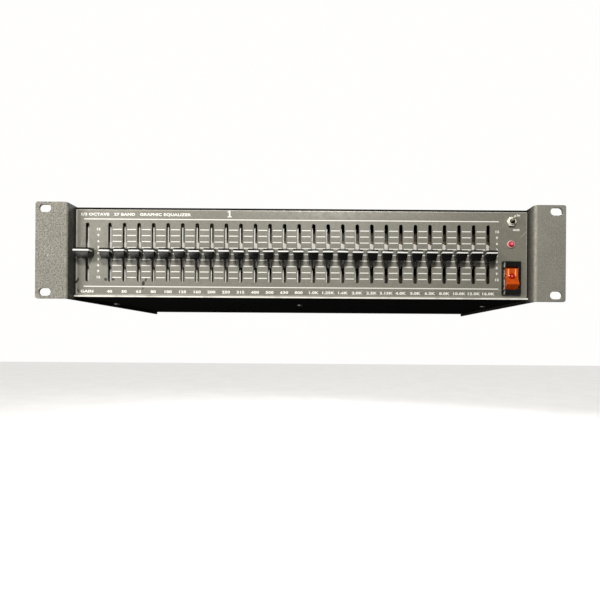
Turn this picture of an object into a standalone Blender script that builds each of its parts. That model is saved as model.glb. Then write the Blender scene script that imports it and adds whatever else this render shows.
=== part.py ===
"""Graphic equalizer for a 19-inch rack: 27 bands and a gain slider in a 2-unit steel case.

Metres, +Z up. The front faces -Y, and the origin is on the standing plane, under the middle of
the outer box. Each object is one piece of the real unit.
"""

import math

import bmesh
import bpy
from mathutils import Matrix, Vector

MM = 0.001

# Rack standard, two units high.
RACK_WIDTH = 482.6 * MM
RACK_HEIGHT = 88.1 * MM
RACK_HOLE_SPAN = 465.1 * MM
RACK_HOLE_RISE = 76.2 * MM
RACK_SLOT_LENGTH = 11.0 * MM
RACK_SLOT_WIDTH = 7.1 * MM

# Case.
CASE_WIDTH = 425.4 * MM  # between the inner faces of the side plates
CASE_DEPTH = 203.0 * MM  # panel face to rear face
PANEL_RECESS = 12.7 * MM  # how far the panel sits behind the front of the ears
REAR_REACH = 9.0 * MM  # how far the fuse cap stands out behind the case
PLATE = 2.0 * MM  # side plates and ears
SHEET = 1.5 * MM  # covers
PANEL_SHEET = 1.6 * MM  # front and rear panels
GAP = 0.3 * MM  # clearance between neighbouring pieces
EAR_BEND = 3.2 * MM
EAR_CORNER = 2.0 * MM
STAND_OFF = 2.0 * MM  # covers inside the upper and lower edges of the side plates
CASE_LIFT = 1.0 * MM  # middle of the panel above the middle of the ears
BOTTOM_LIP = 1.0 * MM  # how far the bottom cover reaches in front of the panel
TOP_LIP = -0.6 * MM  # the top cover stays behind the panel's fold
FLANGE = 12.0 * MM

FRONT_Y = -(PANEL_RECESS + CASE_DEPTH + REAR_REACH) / 2
PANEL_Y = FRONT_Y + PANEL_RECESS
PANEL_BACK = PANEL_Y + PANEL_SHEET
REAR_Y = PANEL_Y + CASE_DEPTH
EAR_MID = RACK_HEIGHT / 2
MID_Z = EAR_MID + CASE_LIFT
BASE_Z = STAND_OFF + CASE_LIFT  # lower face of the bottom cover
FLOOR_Z = BASE_Z + SHEET  # upper face of the bottom cover
ROOF_Z = RACK_HEIGHT - STAND_OFF + CASE_LIFT - SHEET  # lower face of the top cover
PANEL_WIDTH = CASE_WIDTH - 2 * 1.2 * MM
PANEL_LOW = FLOOR_Z + GAP
PANEL_HIGH = ROOF_Z - GAP

# Sliders.
BANDS = (
    "40hz", "50hz", "63hz", "80hz", "100hz", "125hz", "160hz", "200hz", "250hz",
    "315hz", "400hz", "500hz", "630hz", "800hz", "1k", "1k25", "1k6", "2k", "2k5",
    "3k15", "4k", "5k", "6k3", "8k", "10k", "12k5", "16k",
)
BAND_PITCH = 13.65 * MM
FIRST_BAND_X = -179.7 * MM
GAIN_X = -200.8 * MM
SLOT_WIDTH = 3.5 * MM
SLOT_LENGTH = 55.5 * MM
POT_SHIFT = 1.45 * MM  # potentiometers sit a little to the right of their slots
POT_WIDTH = 7.2 * MM
POT_DEPTH = 9.0 * MM
POT_LENGTH = 72.0 * MM
POT_GAP = 3.9 * MM  # between the two lips of the housing
POT_LIP = 0.9 * MM
POT_WALL = 0.7 * MM
POT_FRONT = PANEL_Y + 4.8 * MM
LEVER_WIDTH = 1.2 * MM
LEVER_HEIGHT = 4.0 * MM
TAB_X = 0.1 * MM  # the lever and the carriage's front tab, measured from the slot
TAB_WIDTH = 2.6 * MM
TAB_TOP = 10.6 * MM
TAB_BOTTOM = -13.0 * MM
RUNNER_LENGTH = 20.0 * MM
KNOB_WIDTH = 9.7 * MM
GAIN_KNOB_WIDTH = 14.6 * MM
KNOB_LOW = 1.8 * MM  # above the panel
KNOB_SHOULDER = 8.0 * MM
KNOB_TOP = 11.5 * MM
KNOB_RISE = 3.2 * MM  # above the middle of the ridge
KNOB_DROP = 7.0 * MM  # below it
KNOB_RIDGE = 2.2 * MM
RIDGE_SHIFT = -0.3 * MM  # the ridge from the middle of the lever
KNOB_TAPER = 0.2  # share of its width lost at its lower edge
GAIN_KNOB_TAPER = 0.38

# Controls at the right of the panel.
CONTROL_X = 196.5 * MM
TOGGLE_Z = MID_Z + 30.9 * MM
TOGGLE_ANGLE = 12.0
LED_Z = MID_Z + 9.8 * MM
SWITCH_Z = MID_Z - 21.9 * MM
BEZEL_WIDTH = 17.8 * MM
BEZEL_HEIGHT = 31.2 * MM
BEZEL_THICK = 2.2 * MM
SWITCH_BODY_WIDTH = 15.4 * MM
SWITCH_BODY_HEIGHT = 28.0 * MM
SWITCH_BODY_DEPTH = 18.0 * MM
ROCKER_WIDTH = 11.6 * MM
ROCKER_RADIUS = 10.6 * MM
ROCKER_VALLEY = 4.1 * MM  # from the pivot to the front, at its middle
ROCKER_EDGE = (6.4 * MM, 6.5 * MM)  # forward and up from the pivot, where each half ends in front
ROCKER_ANGLE = 10.0

# Rear panel.
INPUT_X = -160.0 * MM
OUTPUT_X = -124.0 * MM
JACK_Z = 44.0 * MM
FUSE_X = 118.0 * MM
FUSE_Z = 44.0 * MM
INLET_X = 168.0 * MM
INLET_Z = 44.0 * MM
INLET_WIDTH = 27.0 * MM
INLET_HEIGHT = 19.8 * MM
INLET_DEPTH = 20.0 * MM
INLET_SCREW_SPAN = 40.0 * MM

BOTTOM_SCREWS = {"left": -204.0 * MM, "middle": -5.0 * MM, "right": 194.0 * MM}
BRACE_Y = PANEL_Y + 66.0 * MM
BRACE_WIDTH = 14.0 * MM
ROUND = 16  # sides of a small round piece


# ---------------------------------------------------------------- scene and materials

def clear_scene():
    for obj in list(bpy.data.objects):
        bpy.data.objects.remove(obj, do_unlink=True)


def new_collection(name):
    made = bpy.data.collections.new(name)
    bpy.context.scene.collection.children.link(made)
    return made


def material(name, colour, roughness, metallic=0.0):
    made = bpy.data.materials.new(name)
    made.use_nodes = True
    shader = made.node_tree.nodes["Principled BSDF"]
    shader.inputs["Base Color"].default_value = (*colour, 1.0)
    shader.inputs["Roughness"].default_value = roughness
    shader.inputs["Metallic"].default_value = metallic
    made.diffuse_color = (*colour, 1.0)
    return made


clear_scene()
PARTS = new_collection("graphic_equalizer")
CUTTERS = new_collection("cutters")

PAINT = material("textured_grey_paint", (0.26, 0.25, 0.215), 0.55)
PANEL_PAINT = material("panel_grey", (0.22, 0.21, 0.18), 0.42)
COVER_PAINT = material("cover_black", (0.03, 0.03, 0.03), 0.5)
BLACK_PLASTIC = material("black_plastic", (0.02, 0.02, 0.02), 0.3)
STEEL = material("zinc_steel", (0.62, 0.6, 0.56), 0.35, 1.0)
NICKEL = material("nickel", (0.72, 0.7, 0.66), 0.25, 1.0)
RED_LENS = material("red_lens", (0.75, 0.02, 0.04), 0.15)
ORANGE_LENS = material("orange_lens", (0.9, 0.16, 0.02), 0.15)
BOARD_GREEN = material("circuit_board", (0.08, 0.16, 0.06), 0.5)
POT_STEEL = material("pot_steel", (0.5, 0.48, 0.44), 0.4, 1.0)
LAMINATION = material("laminated_iron", (0.25, 0.22, 0.2), 0.5, 0.6)
CABLE_GREY = material("cable_grey", (0.35, 0.35, 0.34), 0.5)


# ---------------------------------------------------------------- building blocks

def place(name, mesh, surface, location=(0, 0, 0)):
    obj = bpy.data.objects.new(name, mesh)
    obj.location = location
    mesh.materials.clear()
    mesh.materials.append(surface)
    mesh.set_sharp_from_angle(angle=math.radians(35))
    PARTS.objects.link(obj)
    return obj


def hide_as_cutter(obj):
    obj.hide_render = True
    obj.display_type = "WIRE"
    CUTTERS.objects.link(obj)
    return obj


def mesh_of(bm, name):
    mesh = bpy.data.meshes.new(name)
    bm.to_mesh(mesh)
    bm.free()
    return mesh


def box(low, high, bm=None):
    """Adds a box between two corners to bm."""
    bm = bm or bmesh.new()
    low, high = Vector(low), Vector(high)
    scale = Matrix.Diagonal((*(high - low), 1.0))
    bmesh.ops.create_cube(bm, size=1.0, matrix=Matrix.Translation((low + high) / 2) @ scale)
    return bm


def rod(start, end, radius, sides=ROUND, bm=None, end_radius=None):
    """Adds a cylinder or a cone between two points to bm."""
    bm = bm or bmesh.new()
    start, end = Vector(start), Vector(end)
    turn = (end - start).to_track_quat("Z", "Y").to_matrix().to_4x4()
    bmesh.ops.create_cone(
        bm, cap_ends=True, segments=sides, radius1=radius, radius2=end_radius or radius,
        depth=(end - start).length, matrix=Matrix.Translation((start + end) / 2) @ turn,
    )
    return bm


def prism(outlines, thickness, matrix):
    """Flat outlines filled and thickened as a 2D curve, then turned into one mesh."""
    curve = bpy.data.curves.new("outline", "CURVE")
    curve.dimensions = "2D"
    curve.fill_mode = "BOTH"
    curve.extrude = thickness / 2
    for points in outlines:
        spline = curve.splines.new("POLY")
        spline.points.add(len(points) - 1)
        for point, (x, y) in zip(spline.points, points):
            point.co = (x, y, 0.0, 1.0)
        spline.use_cyclic_u = True
    obj = bpy.data.objects.new("outline", curve)
    CUTTERS.objects.link(obj)
    obj.matrix_world = matrix
    bpy.context.view_layer.update()
    graph = bpy.context.evaluated_depsgraph_get()
    mesh = bpy.data.meshes.new_from_object(obj.evaluated_get(graph))
    mesh.transform(matrix)
    bpy.data.objects.remove(obj)
    bm = bmesh.new()
    bm.from_mesh(mesh)
    bmesh.ops.remove_doubles(bm, verts=bm.verts, dist=1e-6)
    bmesh.ops.recalc_face_normals(bm, faces=bm.faces)
    return bm


def facing_front(y):
    """Turns a drawing in X and Z to stand at depth y."""
    return Matrix.Translation((0, y, 0)) @ Matrix.Rotation(math.radians(90), 4, "X")


def facing_side(x):
    """Turns a drawing in Y and Z to stand at width x."""
    across = Matrix.Rotation(math.radians(90), 4, "Z") @ Matrix.Rotation(math.radians(90), 4, "X")
    return Matrix.Translation((x, 0, 0)) @ across


def arc(centre, radius, start, end, steps):
    """Points on a circle, by angle in degrees."""
    angles = [math.radians(start + (end - start) * i / steps) for i in range(steps + 1)]
    return [(centre[0] + radius * math.cos(a), centre[1] + radius * math.sin(a)) for a in angles]


def upright_slot(x, z, width, length, steps=5):
    r, half = width / 2, (length - width) / 2
    return arc((x, z + half), r, 0, 180, steps) + arc((x, z - half), r, 180, 360, steps)


def level_slot(x, z, width, length, steps=5):
    r, half = width / 2, (length - width) / 2
    return arc((x + half, z), r, -90, 90, steps) + arc((x - half, z), r, 90, 270, steps)


def rectangle(x, z, width, height):
    w, h = width / 2, height / 2
    return [(x - w, z - h), (x + w, z - h), (x + w, z + h), (x - w, z + h)]


def circle(x, z, radius, sides=ROUND):
    return arc((x, z), radius, 0, 360 - 360 / sides, sides - 1)


def beside(path, distance):
    """The path moved to its left by distance, with mitred corners."""
    points = [Vector((*p, 0.0)) for p in path]
    ways = [(b - a).normalized() for a, b in zip(points, points[1:])]
    made = []
    for point, before, after in zip(points, ways[:1] + ways, ways + ways[-1:]):
        middle = (before + after).normalized()
        reach = distance / middle.dot(after)
        made.append((point.x - middle.y * reach, point.y + middle.x * reach))
    return made


def folded_sheet(path, thickness, length, matrix):
    """A bent sheet: thickness to the left of the path, and as long as length."""
    return prism([path + beside(path, thickness)[::-1]], length, matrix)


def baked(obj):
    """The evaluated mesh of a helper object, as a bmesh in world space; the helper is removed."""
    bpy.context.view_layer.update()
    graph = bpy.context.evaluated_depsgraph_get()
    mesh = bpy.data.meshes.new_from_object(obj.evaluated_get(graph))
    mesh.transform(obj.matrix_world)
    bpy.data.objects.remove(obj)
    bm = bmesh.new()
    bm.from_mesh(mesh)
    return bm


def combine(operation, base, *others):
    """base with each of the other solids joined to it (UNION) or cut from it (DIFFERENCE)."""
    obj = bpy.data.objects.new("base", mesh_of(base, "base"))
    CUTTERS.objects.link(obj)
    tools = []
    for i, other in enumerate(others):
        tool = hide_as_cutter(bpy.data.objects.new(f"tool_{i}", mesh_of(other, "tool")))
        modifier = obj.modifiers.new(f"step_{i}", "BOOLEAN")
        modifier.operation = operation
        modifier.solver = "EXACT"
        modifier.object = tool
        tools.append(tool)
    made = baked(obj)
    for tool in tools:
        bpy.data.objects.remove(tool)
    return made


def union(base, *others):
    return combine("UNION", base, *others)


def cut(base, *others):
    return combine("DIFFERENCE", base, *others)


def solid(name, bm, surface, location=(0, 0, 0)):
    return place(name, mesh_of(bm, name), surface, location)


def turned(name, profile, surface, location, axis_matrix, steps=ROUND):
    """A profile of (radius, height) pairs, from its top down its outer side, spun by a Screw."""
    bm = bmesh.new()
    points = [bm.verts.new((r, 0.0, h)) for r, h in profile]
    for pair in zip(points, points[1:]):
        bm.edges.new(pair)
    if profile[0][0] > 0:
        bm.edges.new((points[-1], points[0]))
    obj = bpy.data.objects.new(name, mesh_of(bm, name))
    obj.data.materials.append(surface)
    obj.matrix_world = Matrix.Translation(location) @ axis_matrix
    screw = obj.modifiers.new("turn", "SCREW")
    screw.axis = "Z"
    screw.steps = steps
    screw.render_steps = steps
    screw.use_merge_vertices = True
    screw.merge_threshold = 1e-5
    screw.use_smooth_shade = True
    PARTS.objects.link(obj)
    return obj


# Local +Z of a turned piece points out of the front or out of the back.
OUT_OF_FRONT = Matrix.Rotation(math.radians(90), 4, "X")
OUT_OF_BACK = Matrix.Rotation(math.radians(-90), 4, "X")


# ---------------------------------------------------------------- case

def band_x(i):
    return FIRST_BAND_X + i * BAND_PITCH


def slot_positions():
    return [GAIN_X] + [band_x(i) for i in range(len(BANDS))]


def side_plate(name, side):
    """One bent plate: the case's side and the rack ear in one piece."""
    inner, bend = CASE_WIDTH / 2, EAR_BEND
    path = [(RACK_WIDTH / 2, FRONT_Y)]
    path += arc((inner + bend, FRONT_Y + bend), bend, 270, 180, 4)
    path += [(inner, REAR_Y)]
    plate = folded_sheet(path, -PLATE, RACK_HEIGHT, Matrix.Translation((0, 0, EAR_MID)))
    corners = [
        e for e in plate.edges
        if all(abs(v.co.x - RACK_WIDTH / 2) < 1e-6 for v in e.verts)
        and abs(e.verts[0].co.z - e.verts[1].co.z) < 1e-6
    ]
    bmesh.ops.bevel(plate, geom=corners, offset=EAR_CORNER, segments=3, profile=0.5, affect="EDGES")
    holes = [
        level_slot(RACK_HOLE_SPAN / 2, EAR_MID + s * RACK_HOLE_RISE / 2, RACK_SLOT_WIDTH, RACK_SLOT_LENGTH)
        for s in (-1, 1)
    ]
    plate = cut(plate, prism(holes, 4 * PLATE, facing_front(FRONT_Y + PLATE / 2)))
    if side < 0:
        plate.transform(Matrix.Scale(-1, 4, (1, 0, 0)))
        bmesh.ops.reverse_faces(plate, faces=plate.faces)
    return solid(name, plate, PAINT)


def screw_holes(z_low, z_high):
    """Cutters for the three screws in the bottom cover."""
    bm = bmesh.new()
    for x in BOTTOM_SCREWS.values():
        rod((x, BRACE_Y, z_low), (x, BRACE_Y, z_high), 1.8 * MM, 12, bm)
    return bm


def cover(low, high, flange_to, lip, vents=False):
    """A flat sheet with two side flanges, which run from the front panel's bend to the rear panel."""
    half = CASE_WIDTH / 2 - GAP
    sheet = box((-half, PANEL_Y - lip, low), (half, REAR_Y, high))
    z_low, z_high = min(flange_to, low + GAP), max(flange_to, high - GAP)
    flanges = bmesh.new()
    for side in (-1, 1):
        x_low, x_high = sorted((side * half, side * (half - SHEET)))
        ends = (PANEL_Y + 16 * MM, REAR_Y - 3 * MM)
        box((x_low, ends[0], z_low), (x_high, ends[1], z_high), flanges)
    made = union(sheet, flanges)
    if vents:
        rows = [upright_slot(110 * MM + i * 9 * MM, 0.0, 3 * MM, 44 * MM, 4) for i in range(10)]
        over = Matrix.Translation((0, REAR_Y - 95 * MM, (low + high) / 2))
        made = cut(made, prism(rows, 4 * SHEET, over))
    return made


def top_cover():
    made = cover(ROOF_Z, ROOF_Z + SHEET, ROOF_Z - FLANGE, TOP_LIP, vents=True)
    return solid("top_cover", made, COVER_PAINT)


def bottom_cover():
    """The lower sheet, with the pressed-in posts that carry the circuit boards and the transformer."""
    made = cover(BASE_Z, FLOOR_Z, FLOOR_Z + FLANGE, BOTTOM_LIP)
    made = cut(made, screw_holes(0.0, FLOOR_Z + 1 * MM))
    posts = bmesh.new()
    for x, y in BOARD_POSTS:
        rod((x, y, FLOOR_Z - 0.5 * MM), (x, y, BOARD_Z - GAP), 3 * MM, 6, posts)
    return solid("bottom_cover", union(made, posts), COVER_PAINT)


def front_panel():
    """A sheet bent back along its upper and lower edges, and cut for the sliders and switches."""
    bend, t = 0.6 * MM, PANEL_SHEET
    back = PANEL_Y + FLANGE
    outline = [(back, PANEL_HIGH)]
    outline += arc((PANEL_Y + bend, PANEL_HIGH - bend), bend, 90, 180, 3)
    outline += arc((PANEL_Y + bend, PANEL_LOW + bend), bend, 180, 270, 3)
    outline += [(back, PANEL_LOW), (back, PANEL_LOW + t), (PANEL_Y + t, PANEL_LOW + t)]
    outline += [(PANEL_Y + t, PANEL_HIGH - t), (back, PANEL_HIGH - t)]
    sheet = prism([outline], PANEL_WIDTH, facing_side(0.0))
    slots = [upright_slot(x, MID_Z, SLOT_WIDTH, SLOT_LENGTH) for x in slot_positions()]
    slots.append(circle(CONTROL_X, TOGGLE_Z, 3.3 * MM))
    slots.append(circle(CONTROL_X, LED_Z, 3.3 * MM))
    slots.append(rectangle(CONTROL_X, SWITCH_Z, SWITCH_BODY_WIDTH + 2 * GAP, SWITCH_BODY_HEIGHT + 2 * GAP))
    through = prism(slots, 4 * PANEL_SHEET, facing_front(PANEL_Y + PANEL_SHEET / 2))
    return solid("front_panel", cut(sheet, through), PANEL_PAINT)


def rear_panel():
    half = CASE_WIDTH / 2 - GAP
    sheet = box((-half, REAR_Y - PANEL_SHEET, PANEL_LOW), (half, REAR_Y, PANEL_HIGH))
    holes = [circle(x, JACK_Z, 4.75 * MM + GAP) for x in (INPUT_X, OUTPUT_X)]
    holes.append(circle(FUSE_X, FUSE_Z, 6.0 * MM + GAP))
    holes.append(rectangle(INLET_X, INLET_Z, INLET_WIDTH + 2 * GAP, INLET_HEIGHT + 2 * GAP))
    for side in (-1, 1):
        holes.append(circle(INLET_X + side * INLET_SCREW_SPAN / 2, INLET_Z, 1.8 * MM, 12))
    cutter = prism(holes, 4 * PANEL_SHEET, facing_front(REAR_Y - PANEL_SHEET / 2))
    return solid("rear_panel", cut(sheet, cutter), COVER_PAINT)


def bottom_screw(name, x):
    """A pan-head screw, driven up through the bottom cover into the brace."""
    head_top = BASE_Z - GAP
    head = rod((x, BRACE_Y, head_top - 1.8 * MM), (x, BRACE_Y, head_top), 2.9 * MM, ROUND, end_radius=3.1 * MM)
    shank = rod((x, BRACE_Y, head_top - 1 * MM), (x, BRACE_Y, FLOOR_Z + 4 * MM), 1.5 * MM, 12)
    return solid(name, union(head, shank), STEEL)


def cross_brace():
    """A steel strip across the case that stiffens the bottom cover."""
    half_x, half_y = CASE_WIDTH / 2 - 4 * MM, BRACE_WIDTH / 2
    base, top = FLOOR_Z + GAP, FLOOR_Z + GAP + 2 * MM
    strip = box((-half_x, BRACE_Y - half_y, base), (half_x, BRACE_Y + half_y, top))
    return solid("cross_brace", cut(strip, screw_holes(FLOOR_Z - 1 * MM, top + 1 * MM)), STEEL)


# ---------------------------------------------------------------- sliders

def knob_cap(width, taper):
    """A cap with a level ridge near its top and a long slanted face under it, narrowing downwards."""
    ridge = KNOB_RIDGE / 2
    outline = [
        (-KNOB_LOW, -0.88 * KNOB_DROP), (-KNOB_SHOULDER, -KNOB_DROP), (-KNOB_TOP, -ridge),
        (-KNOB_TOP, ridge), (ridge - KNOB_TOP, 0.75 * KNOB_RISE), (-KNOB_LOW, KNOB_RISE),
        (-KNOB_LOW, -ridge),
    ]
    knob = prism([outline], width, facing_side(0.0))
    for v in knob.verts:
        below = max(0.0, -v.co.z - ridge) / (KNOB_DROP - ridge)
        v.co.x *= 1 - taper * below
    knob.transform(Matrix.Translation((0, 0, RIDGE_SHIFT)))
    bmesh.ops.triangulate(knob, faces=knob.faces)
    return knob


def slider_mesh(width, taper):
    """Knob, steel lever and nylon carriage in one, drawn about the slot's middle on the panel."""
    knob = knob_cap(width, taper)
    front = POT_FRONT - PANEL_Y
    lever = box(
        (TAB_X - LEVER_WIDTH / 2, -KNOB_LOW - 3 * MM, -LEVER_HEIGHT / 2),
        (TAB_X + LEVER_WIDTH / 2, front, LEVER_HEIGHT / 2),
    )
    tab = box(
        (TAB_X - TAB_WIDTH / 2, front - 1.6 * MM, TAB_BOTTOM),
        (TAB_X + TAB_WIDTH / 2, front - GAP, TAB_TOP),
    )
    left_lip, half = POT_SHIFT - POT_GAP / 2, RUNNER_LENGTH / 2
    neck = box((left_lip + GAP, front - 1 * MM, -8 * MM), (TAB_X + 1.2 * MM, front + 2.5 * MM, 8 * MM))
    shoe = POT_WIDTH / 2 - POT_WALL - GAP
    runner = box(
        (POT_SHIFT - shoe, front + POT_LIP + GAP, -half),
        (POT_SHIFT + shoe, front + 4.2 * MM, half),
    )
    return mesh_of(union(knob, lever, tab, neck, runner), "slider")


def sliders():
    gain = slider_mesh(GAIN_KNOB_WIDTH, GAIN_KNOB_TAPER)
    place("slider_gain", gain, BLACK_PLASTIC, (GAIN_X, PANEL_Y, MID_Z))
    shared = slider_mesh(KNOB_WIDTH, KNOB_TAPER)
    for i, band in enumerate(BANDS):
        place(f"slider_{band}", shared, BLACK_PLASTIC, (band_x(i), PANEL_Y, MID_Z))


def slide_pot_board():
    """The upright board with its 28 potentiometer housings, each a channel with two front lips."""
    back = POT_FRONT + POT_DEPTH
    w, g, wall = POT_WIDTH / 2, POT_GAP / 2, POT_WALL
    housings = []
    for x in slot_positions():
        c, front, deep = x + POT_SHIFT, POT_FRONT, POT_FRONT + 5.4 * MM
        housings.append([
            (c - w, front), (c - g, front), (c - g, front + POT_LIP), (c - w + wall, front + POT_LIP),
            (c - w + wall, deep), (c + w - wall, deep), (c + w - wall, front + POT_LIP),
            (c + g, front + POT_LIP), (c + g, front), (c + w, front), (c + w, back), (c - w, back),
        ])
    channels = prism(housings, POT_LENGTH, Matrix.Translation((0, 0, MID_Z)))
    low, high = PANEL_LOW + 3 * MM, PANEL_HIGH - 3 * MM
    board = box((-208 * MM, back - 0.5 * MM, low), (186 * MM, back + 1.1 * MM, high))
    return solid("slide_pot_board", union(board, channels), POT_STEEL)


BOARD_Z = 13.0 * MM
BOARD_POSTS = [(x * MM, PANEL_Y + y * MM) for x in (-190, -60, 70) for y in (40, 150)]


def filter_board():
    """The main board: a row of filter chips and two rows of capacitors, standing on six posts."""
    low = (-198 * MM, PANEL_Y + 32 * MM, BOARD_Z)
    high = (80 * MM, PANEL_Y + 158 * MM, BOARD_Z + 1.6 * MM)
    base = BOARD_Z + 1 * MM
    chips, cans = (PANEL_Y + 60 * MM, PANEL_Y + 80 * MM), (PANEL_Y + 100 * MM, PANEL_Y + 122 * MM)
    parts = bmesh.new()
    for i in range(14):
        x = (-184 + i * 19) * MM
        box((x, chips[0], base), (x + 9 * MM, chips[1], BOARD_Z + 5.5 * MM), parts)
        for y in cans:
            rod((x + 4 * MM, y, base), (x + 4 * MM, y, BOARD_Z + 13 * MM), 3.5 * MM, 8, parts)
    return solid("filter_board", union(box(low, high), parts), BOARD_GREEN)


def power_supply_board():
    low = (92 * MM, PANEL_Y + 122 * MM, BOARD_Z)
    high = (190 * MM, PANEL_Y + 172 * MM, BOARD_Z + 1.6 * MM)
    parts = bmesh.new()
    base, can_y, regulator_y = BOARD_Z + 1 * MM, PANEL_Y + 148 * MM, PANEL_Y + 160 * MM
    for x in (104 * MM, 122 * MM):
        rod((x, can_y, base), (x, can_y, BOARD_Z + 32 * MM), 8 * MM, ROUND, parts)
    for x in (140 * MM, 156 * MM, 172 * MM):
        box((x, regulator_y, base), (x + 10 * MM, regulator_y + 5 * MM, BOARD_Z + 20 * MM), parts)
    legs = bmesh.new()
    for x in (97 * MM, 185 * MM):
        for y in (PANEL_Y + 127 * MM, PANEL_Y + 167 * MM):
            rod((x, y, FLOOR_Z + GAP), (x, y, BOARD_Z + 0.5 * MM), 2.5 * MM, 6, legs)
    return solid("power_supply_board", union(box(low, high), parts, legs), BOARD_GREEN)


def power_transformer():
    """Laminated core, winding and strap foot, standing on the bottom cover."""
    x, y, base = 150 * MM, PANEL_Y + 92 * MM, FLOOR_Z + GAP
    foot = box((x - 42 * MM, y - 12 * MM, base), (x + 42 * MM, y + 12 * MM, base + 2 * MM))
    core = box((x - 30 * MM, y - 13 * MM, base + 1 * MM), (x + 30 * MM, y + 13 * MM, base + 52 * MM))
    coil = box((x - 18 * MM, y - 25 * MM, base + 11 * MM), (x + 18 * MM, y + 25 * MM, base + 42 * MM))
    bmesh.ops.bevel(coil, geom=coil.edges[:], offset=4 * MM, segments=2, profile=0.5, affect="EDGES")
    return solid("power_transformer", union(foot, core, coil), LAMINATION)


def ribbon_cable():
    """Flat cable from the foot of the slider board over to the filter board."""
    start = POT_FRONT + POT_DEPTH + 1.1 * MM + GAP
    landing = BOARD_Z + 1.6 * MM + GAP
    path = [(start, 30 * MM), (start + 5 * MM, 30 * MM)]
    path += arc((start + 5 * MM, 26 * MM), 4 * MM, 90, 0, 4)[1:]
    path += arc((start + 13 * MM, landing + 4 * MM), 4 * MM, 180, 270, 4)
    path += [(start + 22 * MM, landing)]
    return solid("ribbon_cable", folded_sheet(path, 0.8 * MM, 64 * MM, facing_side(-60 * MM)), CABLE_GREY)


def smooth_route(points, per_span):
    """Points along a smooth curve through the given ones, by Catmull-Rom."""
    p = [Vector(q) for q in points]
    p = [2 * p[0] - p[1]] + p + [2 * p[-1] - p[-2]]
    made = []
    for a, b, c, d in zip(p, p[1:], p[2:], p[3:]):
        for i in range(per_span):
            t = i / per_span
            bend = (2 * a - 5 * b + 4 * c - d) * t**2
            twist = (3 * b - a - 3 * c + d) * t**3
            made.append(0.5 * (2 * b + (c - a) * t + bend + twist))
    return made + [p[-2]]


def wire(name, points, radius):
    curve = bpy.data.curves.new(name, "CURVE")
    curve.dimensions = "3D"
    curve.bevel_depth = radius
    curve.bevel_resolution = 2
    curve.use_fill_caps = True
    route = smooth_route(points, 5)
    spline = curve.splines.new("POLY")
    spline.points.add(len(route) - 1)
    for point, at in zip(spline.points, route):
        point.co = (*at, 1.0)
    curve.materials.append(CABLE_GREY)
    obj = bpy.data.objects.new(name, curve)
    PARTS.objects.link(obj)
    return obj


def mains_harness():
    """Sleeved mains wires from the inlet, along the right-hand side, to the power switch."""
    inlet_back = REAR_Y - INLET_DEPTH - GAP
    switch_back = PANEL_Y + SWITCH_BODY_DEPTH + GAP
    route = [
        (INLET_X, inlet_back, INLET_Z), (INLET_X + 3 * MM, inlet_back - 8 * MM, INLET_Z),
        (200 * MM, PANEL_Y + 150 * MM, 40 * MM), (202 * MM, PANEL_Y + 90 * MM, 34 * MM),
        (201 * MM, PANEL_Y + 50 * MM, 26 * MM), (CONTROL_X, switch_back + 8 * MM, SWITCH_Z),
        (CONTROL_X, switch_back, SWITCH_Z),
    ]
    return wire("mains_harness", route, 2.5 * MM)


# ---------------------------------------------------------------- toggle, lamp and power switch

TOGGLE_PIVOT_Y = PANEL_Y + 1.0 * MM
TOGGLE_MOUTH = 4.5 * MM  # from the pivot to the mouth of the bushing


def toggle_switch():
    """Body behind the panel and the threaded bushing through it, with a flared bore for the lever."""
    bushing = rod((0, PANEL_BACK + 2 * MM, 0), (0, TOGGLE_PIVOT_Y - TOGGLE_MOUTH, 0), 3.0 * MM, ROUND)
    body = box((-3.4 * MM, PANEL_BACK + GAP, -6.4 * MM), (3.4 * MM, PANEL_BACK + 10 * MM, 6.4 * MM))
    made = union(body, bushing)
    mouth = TOGGLE_PIVOT_Y - TOGGLE_MOUTH - 0.5 * MM
    flare = rod((0, TOGGLE_PIVOT_Y - 0.5 * MM, 0), (0, mouth, 0), 1.75 * MM, end_radius=2.5 * MM)
    well = rod((0, TOGGLE_PIVOT_Y + 2.0 * MM, 0), (0, TOGGLE_PIVOT_Y - 0.8 * MM, 0), 1.9 * MM, ROUND)
    made = cut(made, flare, well)
    made.transform(Matrix.Translation((CONTROL_X, 0, TOGGLE_Z)))
    solid("toggle_switch", made, NICKEL)

    nut = rod((0, PANEL_Y - GAP, 0), (0, PANEL_Y - 2.3 * MM, 0), 4.6 * MM, 6)
    nut.transform(Matrix.Rotation(math.radians(30), 4, "Y"))
    nut = cut(nut, rod((0, PANEL_Y + 1 * MM, 0), (0, PANEL_Y - 4 * MM, 0), 3.0 * MM + GAP, ROUND))
    nut.transform(Matrix.Translation((CONTROL_X, 0, TOGGLE_Z)))
    solid("toggle_nut", nut, NICKEL)

    tip = TOGGLE_MOUTH + 7.2 * MM
    profile = [(0.0, tip), (0.8 * MM, tip - 0.25 * MM), (1.3 * MM, tip - 0.9 * MM)]
    profile += [(1.45 * MM, tip - 1.8 * MM), (0.95 * MM, 1.2 * MM)]
    profile += [(1.5 * MM * math.cos(a), 1.5 * MM * math.sin(a)) for a in (0.7, 0.2, -0.4, -1.0)]
    profile += [(0.0, -1.5 * MM)]
    tilt = Matrix.Rotation(math.radians(-TOGGLE_ANGLE), 4, "X")
    turned("toggle_lever", profile, NICKEL, (CONTROL_X, TOGGLE_PIVOT_Y, TOGGLE_Z), tilt @ OUT_OF_FRONT, 12)


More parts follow.
